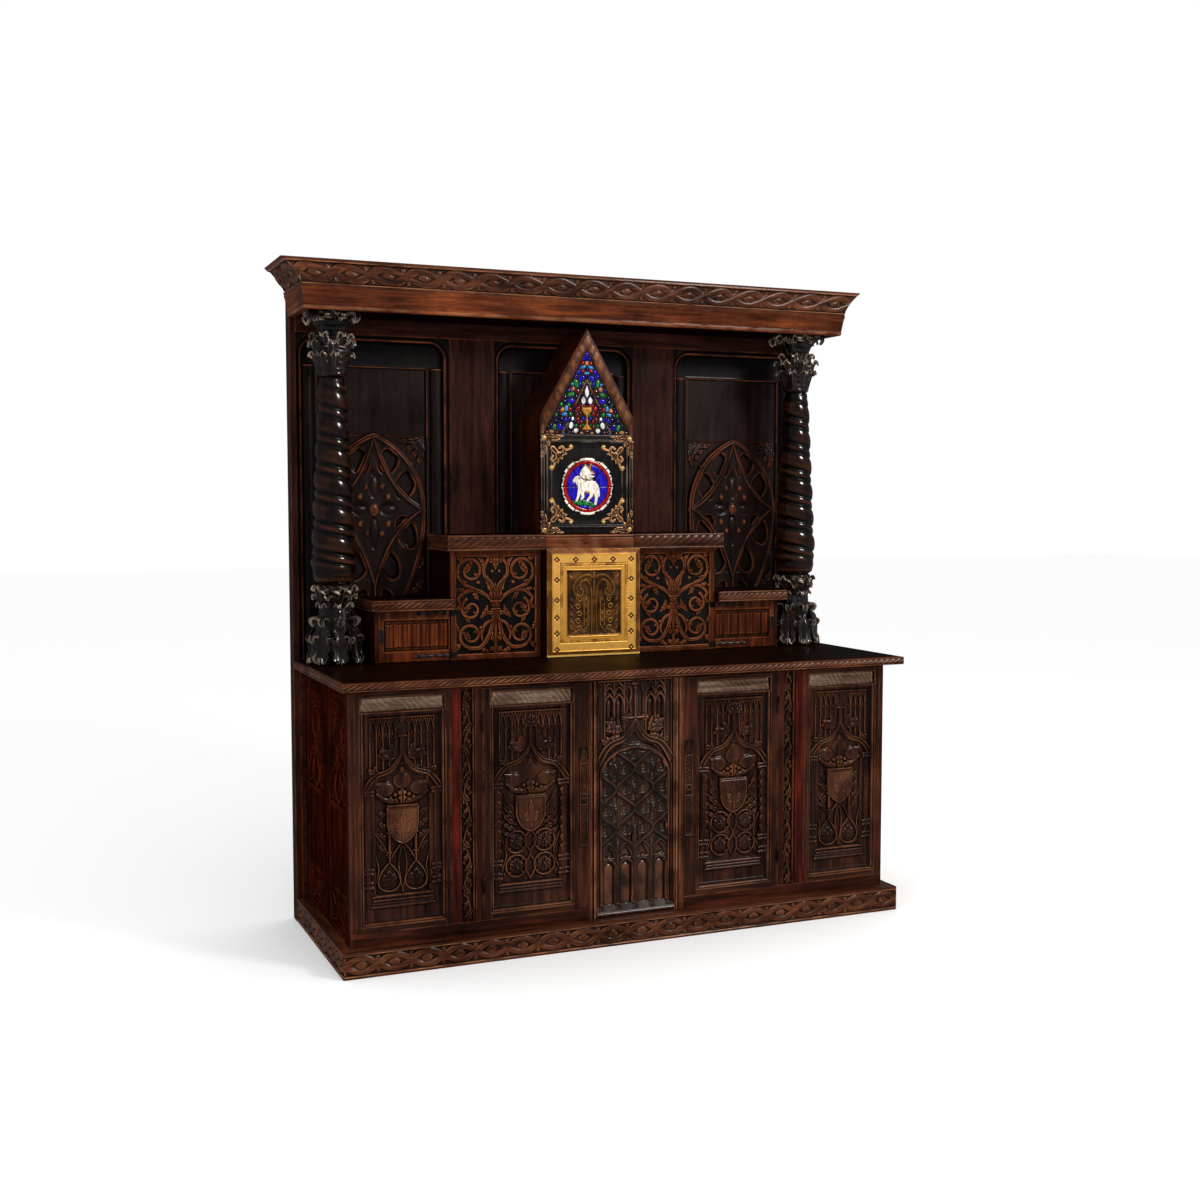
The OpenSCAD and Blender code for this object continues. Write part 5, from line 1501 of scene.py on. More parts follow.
# Rings of leaves: how many, the first one's angle, the spine, the widths along it, lobes, thickness.
BASE_LEAVES = (  # corner feet of curled acanthus, a leafy flare, a neck and a bulb
    (4, 45, [(64, 1150), (82, 1110), (86, 1060), (96, 1020), (106, 1008), (104, 1030)],
     (18, 30, 34, 30, 20, 6), 5, 6),
    (4, 0, [(60, 1130), (78, 1090), (80, 1040), (92, 1008), (102, 1010), (98, 1026)], (14, 24, 26, 24, 14, 5),
     4, 5),
    (8, 22.5, [(70, 1012), (80, 1050), (84, 1090), (98, 1104), (100, 1088), (92, 1082)],
     (15, 19, 20, 15, 10, 3), 4, 5),
    (8, 0, [(60, 1060), (66, 1120), (66, 1156), (84, 1168), (88, 1150), (80, 1144)], (13, 18, 17, 14, 9, 3),
     4, 5),
    (6, 30, [(50, 1130), (54, 1180), (52, 1208), (64, 1222), (68, 1208)], (12, 16, 15, 10, 4), 4, 4),
    (8, 15, [(48, 1205), (60, 1238), (70, 1264), (80, 1284), (84, 1270)], (10, 17, 18, 12, 4), 4, 4),
    (6, 0, [(50, 1216), (66, 1244), (80, 1252), (78, 1238)], (9, 14, 10, 4), 3, 4))
CAPITAL_LEAVES = (  # a rose-like bulb under a spreading head with corner scrolls
    (8, 0, [(48, 2056), (56, 2090), (66, 2122), (80, 2134), (82, 2120)], (11, 17, 18, 11, 4), 4, 4),
    (6, 22, [(52, 2092), (64, 2128), (72, 2160), (86, 2176), (90, 2160)], (12, 19, 20, 13, 4), 4, 4),
    (6, 52, [(50, 2120), (62, 2158), (62, 2188), (74, 2204), (78, 2190)], (12, 18, 17, 12, 4), 3, 4),
    (8, 10, [(42, 2196), (50, 2222), (62, 2250), (84, 2262), (86, 2246)], (9, 14, 15, 12, 4), 4, 4),
    (4, 45, [(46, 2204), (58, 2236), (80, 2262), (102, 2272), (108, 2256), (98, 2246)],
     (11, 19, 22, 18, 12, 5), 4, 6),
    (4, 0, [(60, 2236), (74, 2262), (92, 2278), (98, 2268)], (15, 20, 16, 5), 3, 5))


def columns():
    for name, side in SIDES:
        shaft = turned(Heap(), side, SHAFT_Z, twist, 112)
        shaft.piece(f"{name}_twisted_shaft", [wood("black_oak", "z")], "black_oak", ["column_shafts"])
        for part, span, core, rings in (("base", BASE_Z, base_core, BASE_LEAVES),
                                        ("capital", CAPITAL_Z, capital_core, CAPITAL_LEAVES)):
            heap = turned(Heap(), side, span, core, polish_off=0.9)
            for count, start, *shape in rings:
                for k in range(count):
                    leaf_blade(heap, side, math.radians(start) + 2 * math.pi * k / count, *shape)
            heap.piece(f"{name}_column_{part}", [wood("leaf_oak", "z")], "black_oak", [f"column_{part}s"])


# ---- Cornice -------------------------------------------------------------------------------

FRIEZE_X, FRIEZE_REACH, FRIEZE_Z = node_mm("cornice_frieze")
FASCIA_X, FASCIA_REACH, FASCIA_Z = node_mm("cornice_fascia")


def flared(side, half, front, z, depth):
    """Places a carving on a flaring front, or on its end at one side. half and front list the face's half
    width and reach at the heights in z; u is measured at the frieze's full size, and depth is the relief."""

    def place(u, v, h):
        out, ahead = np.interp(v, z, half) - depth + h, np.interp(v, z, front) - depth + h
        if side:
            return at(side * out, u / FRIEZE_REACH[1] * ahead, v)
        return at(u / FRIEZE_X[1] * out, ahead, v)

    return place


def fascia_face(x):
    """The plain board under the frieze, with a rubbed lower edge and a small bead on top."""
    c = Carving(x, FASCIA_Z, 3.0)
    v = c.z - FASCIA_Z[0]
    uneven = 0.5 * np.sin(c.x / 37) + 0.4 * np.sin(c.x / 13)
    c.rubbing_and_painted_light = np.where(v < 13, 0.12, 0.0)
    return c.level(np.interp(v + uneven, [0, 3, 9, 13, 16, 19, 68, 71, 79],
                             [0.5, 2.4, 2.8, 2.2, 0.2, 1.2, 1.2, 3, 3]))


def cornice():
    half, front, pitch = FRIEZE_X[1], FRIEZE_REACH[1], 142
    concave = ((1118, 1126, 1142, 1163, half), (306, 307, 308.5, 311, front), np.linspace(*FRIEZE_Z, 5),
               RELIEF)
    mitred_band("cornice_frieze", lambda span: interlace(span, FRIEZE_Z, pitch), half, front,
                flared(0, *concave),
                lambda side: flared(side, *concave), -16, "carved_oak", "cornice_frieze", MITRE_HEIGHT)
    plain = ((FASCIA_X[1] - 13, FASCIA_X[1]), (FASCIA_REACH[1] - 10, FASCIA_REACH[1]), FASCIA_Z, 3)
    mitred_band("cornice_fascia", fascia_face, half, front, flared(0, *plain),
                lambda side: flared(side, *plain), -21,
                "light_oak", "cornice_fascia")


back_board()
columns()
cornice()

# ---- Gradine: the raised shelf, its pierced grilles and the two side boxes -----------------

SHELF_X, SHELF_REACH, SHELF_Z = node_mm("gradine_top")
GRILLE_X, GRILLE_REACH, GRILLE_Z = (195.4, 556.0), node_mm("scroll_grilles")[1], node_mm("scroll_grilles")[2]


def shelf():
    """The shelf's boards, a plain fascia over the brass door and carved edges on both sides of it."""
    middle, core, (low, high) = 186.5, (0, 262.7), SHELF_Z
    boards("shelf_boards", [(x, core, SHELF_Z) for x in ((-195, 195), (195.4, 564.6), (-564.6, -195.4))],
           "dark_oak",
           "dark_oak", ["gradine_top"])
    plain = Carving((-middle + 0.5, middle - 0.5), (low + 2, high - 2), 2.5)
    plain.level(np.interp(plain.z - low, [2, 5, 9, 46, 49, 53, 58], [3, 6.5, 5, 5, 2, 8, 7]))
    plain.rubbing_and_painted_light = plain.field(0.3)
    carved("shelf_middle_fascia", plain, facing_front(263), 0.2, wood("light_oak", "x"), "light_oak")
    for name, side in SIDES:
        edge_band(f"{name}_shelf_edge", right_range(side, middle, SHELF_X[1]), SHELF_REACH, (low, high - 1),
                  (side,), 34)


def curl(c, cx, x, z, r, side, start, turns, width, height):
    """A scroll that ends in a round leaf. Its place and angles are those of the right half."""
    middle = np.array([cx + side * x, z])
    line = middle + spiral(r, 0.42 * r, start, 0.82 * turns) * (side, 1)
    c.rib(line, (width, 0.75 * width), height, 0, "reed")
    tip, before = line[-1], line[-4]
    ahead = (tip - before) / math.dist(tip, before)
    inward = middle - tip
    for forward, turn_in in ((0.55, 0.2), (0.35, 0.9), (-0.05, 0.85)):
        c.leaf(tip - 0.1 * r * ahead, tip + forward * r * ahead + turn_in * inward, 0.17 * r, height, 0, 2,
               0.2 * side)
    c.boss(*tip, 1.1 * width, 1.1 * width, height + 1)
    for part in (0.25, 0.55):
        root = line[int(part * len(line))]
        c.leaf(root, root + 0.52 * (middle - root), 0.15 * r, height, 0, 1, -0.5 * side)


# One half of a grille, from its axis. Stems: points, widths. Scrolls: x, z, radius, start, turns, width.
GRILLE_STEMS = (
    (((3, 1196), (12, 1140), (30, 1085), (62, 1046), (104, 1043)), (8, 9, 7)),
    (((6, 1150), (40, 1135), (58, 1100), (54, 1072)), (5, 7, 3)),
    (((4, 1208), (34, 1240), (78, 1262), (122, 1256), (150, 1232)), (7, 8, 6)),
    (((150, 1232), (142, 1212), (136, 1200)), (6, 6)),
    (((58, 1256), (96, 1272), (132, 1290), (154, 1322)), (6, 7, 6)),
    (((0, 1256), (18, 1290), (44, 1318), (46, 1352), (26, 1382), (4, 1394)), (6, 7, 5)))
GRILLE_SCROLLS = ((100, 1093, 50, -95, 1.45, 6.5), (98, 1190, 42, 60, -1.30, 6),
                  (100, 1336, 54, -12, 1.35, 6.5))
GRILLE_LEAVES = (  # root, tip, width, curl
    ((10, 1214), (40, 1300), 15, 0.2), ((2, 1180), (50, 1186), 10, -0.3), ((20, 1120), (-2, 1060), 11, 0.3),
    ((60, 1046), (24, 1028), 9, 0.2), ((84, 1262), (66, 1226), 10, 0.3), ((120, 1258), (154, 1268), 9, 0.1),
    ((140, 1300), (112, 1296), 9, 0.3), ((46, 1340), (70, 1386), 10, 0.3), ((30, 1376), (2, 1362), 10, -0.2),
    ((140, 1060), (162, 1030), 11, 0.2), ((146, 1110), (160, 1150), 9, -0.3),
    ((60, 1160), (34, 1206), 10, 0.25),
    ((132, 1370), (160, 1392), 11, 0.2), ((104, 1140), (126, 1160), 8, 0.2), ((20, 1388), (52, 1396), 8, 0),
    ((150, 1320), (162, 1356), 8, 0.2), ((22, 1046), (0, 1030), 10, 0.2), ((136, 1200), (162, 1186), 8, 0.2))
GRILLE_BERRIES = ((36, 1312, 7), (118, 1228, 7), (60, 1120, 7), (158, 1262, 6), (70, 1292, 7), (14, 1334, 6))


def scroll_grille(x):
    """A pierced board: leafy scrolls that branch from a stem with an urn, in a plain frame."""
    c, top = Carving(x, GRILLE_Z, 1.45), 10.5
    cx = (x[0] + x[1]) / 2
    both, edge = Both(c, cx), c.border()
    c.shape = 22 - edge
    c.h = np.where(c.shape > 0, np.interp(edge, [0, 2, 4, 14, 16, 19, 22], [10, 12.5, 13, 13, 11, 12.5, 8]),
                   0)
    for points, widths in GRILLE_STEMS:
        both.rib(points, widths, top, 0, "reed")
    for side in (-1, 1):
        for dx, z, r, start, turns, width in GRILLE_SCROLLS:
            curl(c, cx, dx, z, r, side, start, turns, width, top)
    for root, tip, width, bow in GRILLE_LEAVES:
        both.leaf(root, tip, width, top + 1, 0, 3, bow)
    for dx, z, r in GRILLE_BERRIES:
        both.boss(dx, z, r, r, top + 1)
    c.rib([(cx, 1020), (cx, 1180)], (6, 5), top, 0, "reed")
    c.boss(cx, 1206, 17, 15, 13)
    c.bar(cx, 15, 1190, 4, 12)
    c.bar(cx, 19, 1220, 4.5, 12)
    c.leaf((cx, 1222), (cx, 1286), 14, 12, 0, 3)
    c.leaf((cx, 1396), (cx, 1340), 15, 12, 0, 3)
    c.h = np.minimum(c.h, 13.8)
    return c


def grilles():
    """The two grilles, and the dark, lightly ribbed boards seen through them."""
    for name, side in SIDES:
        x, place = right_range(side, *GRILLE_X), facing_front(GRILLE_REACH[0])
        carved(f"{name}_scroll_grille", scroll_grille(x), place, 1.0, wood("grille_oak", "z"), "carved_oak",
               ["scroll_grilles"], pierced=True)
        ground = Carving(x, GRILLE_Z, 6.0)
        ground.level(0.5 + 0.15 * np.sin(ground.x / 12.0))
        carved(f"{name}_grille_ground", ground, place, 0, wood("ebony_oak", "z"), "black_oak")


_, BOX_DOOR_REACH, BOX_DOOR_Z = node_mm("right_box_door")
BOX_TOP_X, BOX_TOP_REACH, BOX_TOP_Z = node_mm("side_box_tops")


def linenfold(x, side):
    """Plain rails and stiles round seven folds of carved linen with stitched ends."""
    c = Carving(x, BOX_DOOR_Z, 1.2)
    out = c.x * side
    low, high = (559.5, 812.0), (1044.0, 1156.0)
    v = np.minimum(c.z - high[0], high[1] - c.z)
    inner = np.minimum(np.minimum(out - low[0] - 4, low[1] - out), v)
    frame_height = np.interp(np.minimum(c.border(), -inner + 3), [0, 2, 4], [14.5, 16.5, 17])
    fold = (out - 566) / (810 - 566) * 7
    swell = np.abs(np.sin(np.pi * fold)) ** 0.6
    crease = np.exp(-(((fold % 1) - 0.5) / 0.09) ** 2)
    cloth = np.where(v > 6 + 9 * swell, 6 + 8 * swell - 3 * crease, 6.0 + 1.6 * swell)
    c.level(np.where(inner > 0, cloth, frame_height))
    # Painted shade: the ends of the folds next to the rails are darkened.
    c.rubbing_and_painted_light = np.where((inner > 0) & (v < 16), -0.35, c.rubbing_and_painted_light)
    c.h = np.where((inner <= 0) & (inner > -2.5), 13, c.h)
    return c


def strap_work(side):
    """Iron straps of linked lily flowers, and the lock plate, as one pierced layer."""
    low, high, plate = 565.0, 697.0, (813.5, 832.0)
    c = Carving(right_range(side, low, plate[1]), (1011.5, 1192.5), 0.9)
    for z in (1022, 1182):
        c.rib([(side * low, z), (side * high, z)], 2.6, 2.0)
        for k in range(4):
            x = low + 16 + 33 * k
            c.boss(side * x, z, 5.5, 5.5, 2.9, 0, "soft")
            for turn in range(0, 360, 60):
                dx, dz = heading(turn)
                reach = 16 if turn in (0, 180) else 10.5
                c.leaf((side * x, z), (side * (x + reach * dx), z + reach * dz), 4.6, 2.6, 0, 1)
    c.plate([(side * x, z) for x, z in zip(plate + plate[::-1], (1071, 1071, 1129, 1129))], 2.2, 0, 1.2)
    c.h = np.minimum(c.h, 2.9)
    return c


def side_boxes():
    left, right = BOX_TOP_X[1] - 313.5, BOX_TOP_X[1]
    for name, side in SIDES:
        core = right_range(side, left + GAP, right - 10)
        boards(f"{name}_box_lid", [(core, (0, BOX_TOP_REACH[1] - 10), BOX_TOP_Z)], "dark_oak", "dark_oak",
               ["side_box_tops"])
        edge_band(f"{name}_box_edge", right_range(side, left, right), BOX_TOP_REACH,
                  (BOX_TOP_Z[0], BOX_TOP_Z[1] - 1),
                  (side,))
        body = f"{name}_box_door"
        carved(f"{name}_linenfold", linenfold(node_mm(body)[0], side), facing_front(BOX_DOOR_REACH[0]), 0,
               wood("linen_oak", "z"), "light_oak", [body], body)
        carved(f"{name}_strap_work", strap_work(side), facing_front(BOX_DOOR_REACH[1]), 0, IRON, "black_iron",
               [f"{name}_box_ironwork"], body, pierced=True)


# ---- Tabernacle door -----------------------------------------------------------------------

BRASS_X, BRASS_REACH, BRASS_Z = node_mm("tabernacle_border")
RELIEF_X, RELIEF_REACH, RELIEF_Z = node_mm("tabernacle_relief")


def brass_border():
    """Bevelled edge, a bright flat band with quatrefoil studs and a beaded line inside it."""
    c = Carving(BRASS_X, BRASS_Z, 1.35)
    e = c.border()
    c.level(np.interp(e, [0, 2, 4, 18, 21, 24, 53, 54, 57, 58, 64],
                      [1, 4, 3, 5.2, 7.2, 6, 6, 4.4, 4.4, 5.6, 5.6]))
    c.shape = 65 - e
    side_x, rows = 155.5, (1375, 1298, 1221, 1154, 1093, 1031)
    studs = [(x, rows[0]) for x in (-78, 0, 78)] + [(side * side_x, z) for side in (-1, 1) for z in rows]
    # The bevel is darkened, the flat band lightened as painted reflection, and the bottom edge given a painted
    # highlight line.
    c.rubbing_and_painted_light = np.where(e < 21, -0.62, np.where((e > 24) & (e < 53), 0.35, 0.0))
    c.rubbing_and_painted_light = np.where(c.z < BRASS_Z[0] + 9, 0.8, c.rubbing_and_painted_light)
    for x, z in studs:
        for turn in (0, 90, 180, 270):
            dx, dz = heading(turn)
            lobe = np.hypot(c.x - x - 6.5 * dx, c.z - z - 6.5 * dz)
            # Painted shade in the studs' quatrefoil lobes.
            c.rubbing_and_painted_light = np.where(lobe < 5.6, -1.3, c.rubbing_and_painted_light)
            c.h = np.where(lobe < 5.0, 4.6, c.h)
        c.rubbing_and_painted_light = np.where(np.hypot(c.x - x, c.z - z) < 3.4, 0.5, c.rubbing_and_painted_light)
        c.boss(x, z, 3.4, 3.4, 1.9, 5.6)
    right, low, high = BRASS_X[1] - 55.5, BRASS_Z[0] + 55.5, BRASS_Z[1] - 55.5
    corners = [(-right, low), (right, low), (right, high), (-right, high)]
    for a, b in zip(corners, corners[1:] + corners[:1]):
        count = int(math.dist(a, b) / 6)
        for t in np.arange(count) / count:
            c.boss(a[0] + t * (b[0] - a[0]), a[1] + t * (b[1] - a[1]), 2.0, 2.0, 1.6, 4.2)
    c.h = np.minimum(c.h, 7.9)
    return c


def brass_relief():
    """A pattern of its own: two crooks that meet over a stem, scrolls beside it, a lip at the foot."""
    c = Carving(RELIEF_X, RELIEF_Z, 1.15)
    both, top = Both(c), RELIEF_Z[1] - c.z
    e = np.minimum(c.border(), np.maximum(top - 16, 0) + np.minimum(top, 15))
    c.level(np.interp(e, [0, 1, 14, 15.5, 18, 20, 22], [3.0, 3.8, 3.8, 4.6, 4.6, 3.0, 0.9]))
    c.rubbing_and_painted_light = np.where(e < 15, 0.75, -0.18)
    both.rib([(0, 1302), (24, 1316), (58, 1308), (84, 1276), (80, 1244), (58, 1234), (46, 1250), (56, 1264)],
             (4, 6, 5),
             3.4, 1, "reed")
    both.rib([(10, 1092), (8, 1200), (14, 1270), (34, 1296), (54, 1288), (58, 1276)], (4, 5, 6), 3.6, 1,
             "reed")
    for k in range(5):
        z = 1222 - 28 * k
        for side in (-1, 1):
            c.rib((spiral(12, 4, 20, 1.2) + (62 + 6 * (k % 2), 0)) * (side, 1) + (0, z), 2.4, 3.0, 1)
        both.leaf((44, z - 8), (30, z + 12), 5, 3, 1, 2, 0.3)
        both.leaf((84, z - 8), (98, z + 10), 5, 3, 1, 2, -0.3)
    for x in (26, 42):
        both.post(x, 1120, 1262 - 1.4 * x, 2.2, 2.8, 1)
    both.leaf((70, 1100), (96, 1084), 8, 3, 1, 3)
    both.leaf((88, 1300), (104, 1316), 8, 3, 1, 3)
    both.rosette(44, 1098, 13, 6, 3.2, 1)
    c.rib([(0, 1088), (0, 1290)], 5, 3.6, 1, "reed")
    c.leaf((0, 1296), (0, 1326), 8, 3.6, 1, 2)
    c.bar(0, 100, 1078, 4.5, 3.6, 1.2)
    c.h = np.minimum(c.h, 4.9)
    return c


def tabernacle_front():
    body = "tabernacle_door"
    carved("brass_border", brass_border(), facing_front(BRASS_REACH[0]), 0, BRIGHT_BRASS, "bright_brass",
           ["tabernacle_border"], body, pierced=True)
    carved("brass_relief", brass_relief(), facing_front(RELIEF_REACH[0]), 0, AGED_BRASS, "aged_brass",
           ["tabernacle_relief"], body)


BRIGHT_BRASS = metal("bright_brass", (236, 168, 66), (112, 62, 22), (255, 206, 112), 0.26, 40.0, 0.0001, 0.5)
AGED_BRASS = metal("aged_brass", (128, 80, 30), (46, 24, 8), (228, 164, 70), 0.30, 40.0, 0.0001, 0.5)
shelf()
grilles()
side_boxes()
tabernacle_front()

# ---- Gable: bargeboards, leaded glass, square panel and roundel ----------------------------

TRIM_REACH = node_mm("gable_trim")[1]
PANE_REACH = node_mm("gable_glass")[1]
EAVES, OUTER_APEX, PANE_FOOT, PANE_APEX = 1926.0, 2264.0, 1856.0, 2181.0
GABLE_HALF, PANE_HALF = 195.0, 181.0


def whole_inside(c, outline):
    """Distance inside a closed outline at every point of the carving."""
    return c.inside(outline, 3000)[1]


def bargeboards():
    """Sloping boards with a row of leaves, running down into narrow uprights beside the glass."""
    c = Carving((-GABLE_HALF, GABLE_HALF), (PANE_FOOT, OUTER_APEX), 1.6)
    outer = whole_inside(c, [(-GABLE_HALF, PANE_FOOT), (GABLE_HALF, PANE_FOOT), (GABLE_HALF, EAVES),
                             (0, OUTER_APEX), (-GABLE_HALF, EAVES)])
    pane = -whole_inside(c,
                         [(-PANE_HALF, PANE_FOOT - 50), (PANE_HALF, PANE_FOOT - 50), (PANE_HALF, PANE_FOOT),
                             (0, PANE_APEX), (-PANE_HALF, PANE_FOOT)])
    c.shape = np.minimum(outer, pane)
    slope = math.atan2(OUTER_APEX - EAVES, GABLE_HALF)
    along = (c.z - EAVES) * math.sin(slope) - np.abs(c.x) * math.cos(slope)
    across = outer / np.maximum(outer + pane, 1e-6)
    leaf = np.abs(np.sin(np.pi * (along / 26 + 0.9 * across)))
    mottled = np.sin(along / 7.0 + 3 * across + 1.7 * np.sin(along / 31.0))
    groove = np.interp(across, [0, 0.08, 0.2, 0.32, 0.5, 0.68, 0.8, 0.92, 1],
                       [8, 10, 10.5, 12.2, 12.8, 12.2, 10.5, 10, 8])
    middle = (across > 0.2) & (across < 0.8)
    c.h = groove + np.where(middle, (0.5 * leaf + 0.3 * mottled) * np.sin(np.pi * (across - 0.2) / 0.6), 0)
    c.rubbing_and_painted_light = np.where(middle, 0.3 + 0.14 * mottled, 0.0)
    carved("carved_bargeboards", c, facing_front(TRIM_REACH[0]), 0, wood("carved_oak", "z"), "carved_oak",
           ["gable_trim"], pierced=True)


# The glass, right half: x, z, two radii, tilt in degrees, colour. Each is mirrored.
PANES = [
    (0, 2160, 9, 17, 0, "blue"), (13, 2146, 6, 8, 0, "blue"), (0, 2130, 8, 9, 0, "amber"),
    (16, 2131, 7, 8, 0, "red"), (16, 2115, 12, 6, -25, "sky"), (17, 2101, 8, 5, 0, "red"),
    (0, 2092, 10, 5, 0, "sky"), (34, 2095, 7, 11, -20, "blue"), (21, 2072, 14, 9, -35, "blue"),
    (44, 2052, 8, 15, -20, "green"), (59, 2049, 6, 5, 0, "sky"), (28, 2049, 6, 8, 0, "blue"),
    (58, 2031, 9, 8, -30, "rose"), (66, 2009, 14, 7, -12, "green"), (75, 2024, 6, 5, 0, "blue"),
    (38, 2022, 7, 8, 0, "wine"), (65, 1984, 12, 10, 0, "blue"), (92, 1979, 8, 9, -30, "navy"),
    (47, 2001, 6, 8, 0, "navy"), (85, 1956, 7, 10, 0, "sky"), (70, 1952, 7, 7, 0, "red"),
    (102, 1951, 8, 8, -20, "amber"), (94, 1933, 11, 6, -10, "sky"), (68, 1934, 7, 9, 15, "green"),
    (83, 1926, 6, 5, 0, "wine"), (107, 1912, 8, 9, 0, "navy"), (88, 1910, 6, 9, 10, "blue"),
    (113, 1885, 8, 12, 0, "blue"), (134, 1883, 7, 12, -10, "green"), (130, 1905, 10, 9, 0, "navy"),
    (148, 1866, 12, 6, 0, "rose"), (66, 1891, 8, 12, 15, "white"), (46, 1871, 9, 8, -30, "white"),
    (59, 1916, 5, 7, 0, "white"), (22, 1862, 7, 5, 0, "rose"), (84, 1866, 6, 6, 0, "navy"),
    (100, 1862, 6, 5, 0, "sky"), (124, 1862, 7, 5, 0, "wine"), (36, 1955, 8, 9, 0, "red"),
    (27, 1936, 7, 9, 20, "wine"), (42, 1932, 7, 8, 0, "wine"), (38, 1914, 7, 7, 0, "red"),
    (24, 1905, 7, 8, 0, "wine"), (26, 1884, 7, 8, 0, "wine"), (0, 1869, 9, 6, 0, "wine"),
    (18, 1968, 12, 4, 0, "red"), (50, 1968, 7, 6, 0, "wine"), (110, 1940, 6, 6, 0, "red")]
FLAMES = [[(0, 2048), (9, 2022), (7, 2006), (0, 1997), (-7, 2006), (-9, 2022)],
          [(14, 2004), (24, 1990), (22, 1977), (14, 1973), (6, 1978), (5, 1990)],
          [(-14, 2004), (-24, 1990), (-22, 1977), (-14, 1973), (-6, 1978), (-5, 1990)]]
CHALICE = [(-21, 1962), (21, 1962), (19, 1946), (9, 1934), (4, 1930), (4, 1916), (8, 1912), (4, 1908),
           (4, 1898), (12, 1886),
           (20, 1880), (20, 1875), (-20, 1875), (-20, 1880), (-12, 1886), (-4, 1898), (-4, 1908), (-8, 1912),
           (-4, 1916),
           (-4, 1930), (-9, 1934), (-19, 1946)]
SPARES = ("navy", "blue", "navy", "wine", "navy", "green")


def pane_carving():
    return Carving((-PANE_HALF, PANE_HALF), (PANE_FOOT, PANE_APEX), 0.9)


def glass_seeds():
    """The drawn panes on both halves, and small ones in all the room that's left between them."""
    seeds = PANES + [(-x, z, rx, rz, -tilt, colour) for x, z, rx, rz, tilt, colour in PANES if x]
    taken = np.array([(x, z, max(rx, rz)) for x, z, rx, rz, _, _ in seeds])
    for row in range(24):
        for col in range(-11, 12):
            x, z = 15 * col + 7.5 * (row % 2) * (1 if col >= 0 else -1), PANE_FOOT + 7 + 13.5 * row
            if np.min(np.hypot(taken[:, 0] - x, taken[:, 1] - z) - taken[:, 2]) > 3.2:
                seeds.append((x, z, 6.5, 6.0, 0, SPARES[(abs(col) * 3 + row) % len(SPARES)]))
    return seeds


def leaded_glass():
    """Small domed panes of coloured glass in dark leads, the same on both sides of the middle."""
    c = pane_carving()
    pane = whole_inside(c, [(-PANE_HALF, PANE_FOOT), (PANE_HALF, PANE_FOOT), (0, PANE_APEX)]) - 2.0
    strips = pane_carving()
    Both(strips).rib([(2, 2064), (46, 1974)], 2.6, 1)
    Both(strips).rib([(78, 1900), (104, 1860)], 2.4, 1)
    own = {"white": np.max([whole_inside(c, flame) for flame in FLAMES], 0),
           "amber": whole_inside(c, CHALICE),
           "rose": strips.shape}
    fixed = np.max(list(own.values()), 0)
    seeds = glass_seeds()
    best, second, owner, size = c.field(FAR), c.field(FAR), c.field(0), c.field(1)
    for number, (x, z, rx, rz, tilt, _) in enumerate(seeds):
        co, si = heading(tilt)
        u, v = (c.x - x) * co + (c.z - z) * si, -(c.x - x) * si + (c.z - z) * co
        far = np.hypot(u / rx, v / rz)
        nearer = far < best
        second = np.where(nearer, best, np.minimum(second, far))
        owner, size = np.where(nearer, number, owner), np.where(nearer, (rx + rz) / 2, size)
        best = np.minimum(best, far)
    cell = np.minimum((second - best) * 0.5 * size - 1.7, (1.06 - best) * size)
    cell = np.minimum(np.minimum(cell, pane), -fixed - 2.0)
    colours = {}
    for number, seed in enumerate(seeds):
        colours.setdefault(seed[5], []).append(number)
    glazed = c.field(-FAR)
    for colour, numbers in colours.items():
        shape = np.where(np.isin(owner, numbers), cell, -FAR)
        if colour in own:
            shape = np.maximum(shape, np.minimum(own[colour] - 0.6, pane))
        glazed = np.maximum(glazed, shape)
        part = pane_carving()
        part.shape = np.maximum(shape, -3.0)
        part.h = 1.4 + 2.4 * np.sqrt(np.clip(shape / 6, 0, 1))
        carved(f"glass_{colour}", part, facing_front(PANE_REACH[0]), 0.6, GLASS[colour], "leaded_glass",
               pierced=True)
    leads = pane_carving()
    leads.h = np.where(glazed > -0.3, 0.5, 3.4 * np.clip(-glazed / 1.2, 0.3, 1))
    leads.shape = pane + 2.0
    carved("window_leads", leads, facing_front(PANE_REACH[0]), 0, LEAD, "leaded_glass", ["gable_glass"],
           pierced=True)


MEDAL_X, MEDAL_REACH, MEDAL_Z = node_mm("medallion_panel")
ROUND_CZ, ROUND_R = 1656.0, 112.0


# One gilt corner, by distances from the square's edges.
CORNER_LEAVES = (  # root, tip, width, height, base, curl
    ((14, 14), (62, 10), 10, 5.4, 7.5, 0.2), ((14, 14), (10, 62), 10, 5.4, 7.5, -0.2),
    ((12, 12), (46, 30), 9, 5.4, 7.5, 0.2), ((12, 12), (30, 46), 9, 5.4, 7.5, -0.2),
    ((34, 12), (84, 16), 7, 5.4, 7.5, -0.2), ((12, 34), (16, 84), 7, 5.4, 7.5, 0.2),
    ((24, 24), (40, 46), 7, 5.4, 7.5, 0), ((60, 14), (100, 8), 5, 5.4, 7.5, 0.2),
    ((14, 60), (8, 100), 5, 5.4, 7.5, -0.2), ((70, 70), (92, 96), 8, 5, 7, 0.15),
    ((84, 76), (112, 76), 6, 5, 7, 0.15), ((72, 88), (74, 112), 6, 5, 7, -0.15))
CORNER_RIBS = (  # points, widths
    (((64, 66), (84, 74), (98, 60), (90, 48), (78, 54)), (4.5, 3.5)),
    (((64, 66), (70, 88), (58, 104), (46, 96), (52, 84)), (4.5, 3.5)),
    (((52, 54), (72, 74), (88, 92)), (7, 4)), (((96, 62), (116, 58), (132, 50), (126, 42)), (3.5, 3)),
    (((62, 104), (56, 122), (48, 136), (40, 128)), (3.5, 3)))
CORNER_BOSSES = ((58, 24, 5), (24, 58, 5), (40, 14, 5), (14, 40, 5))
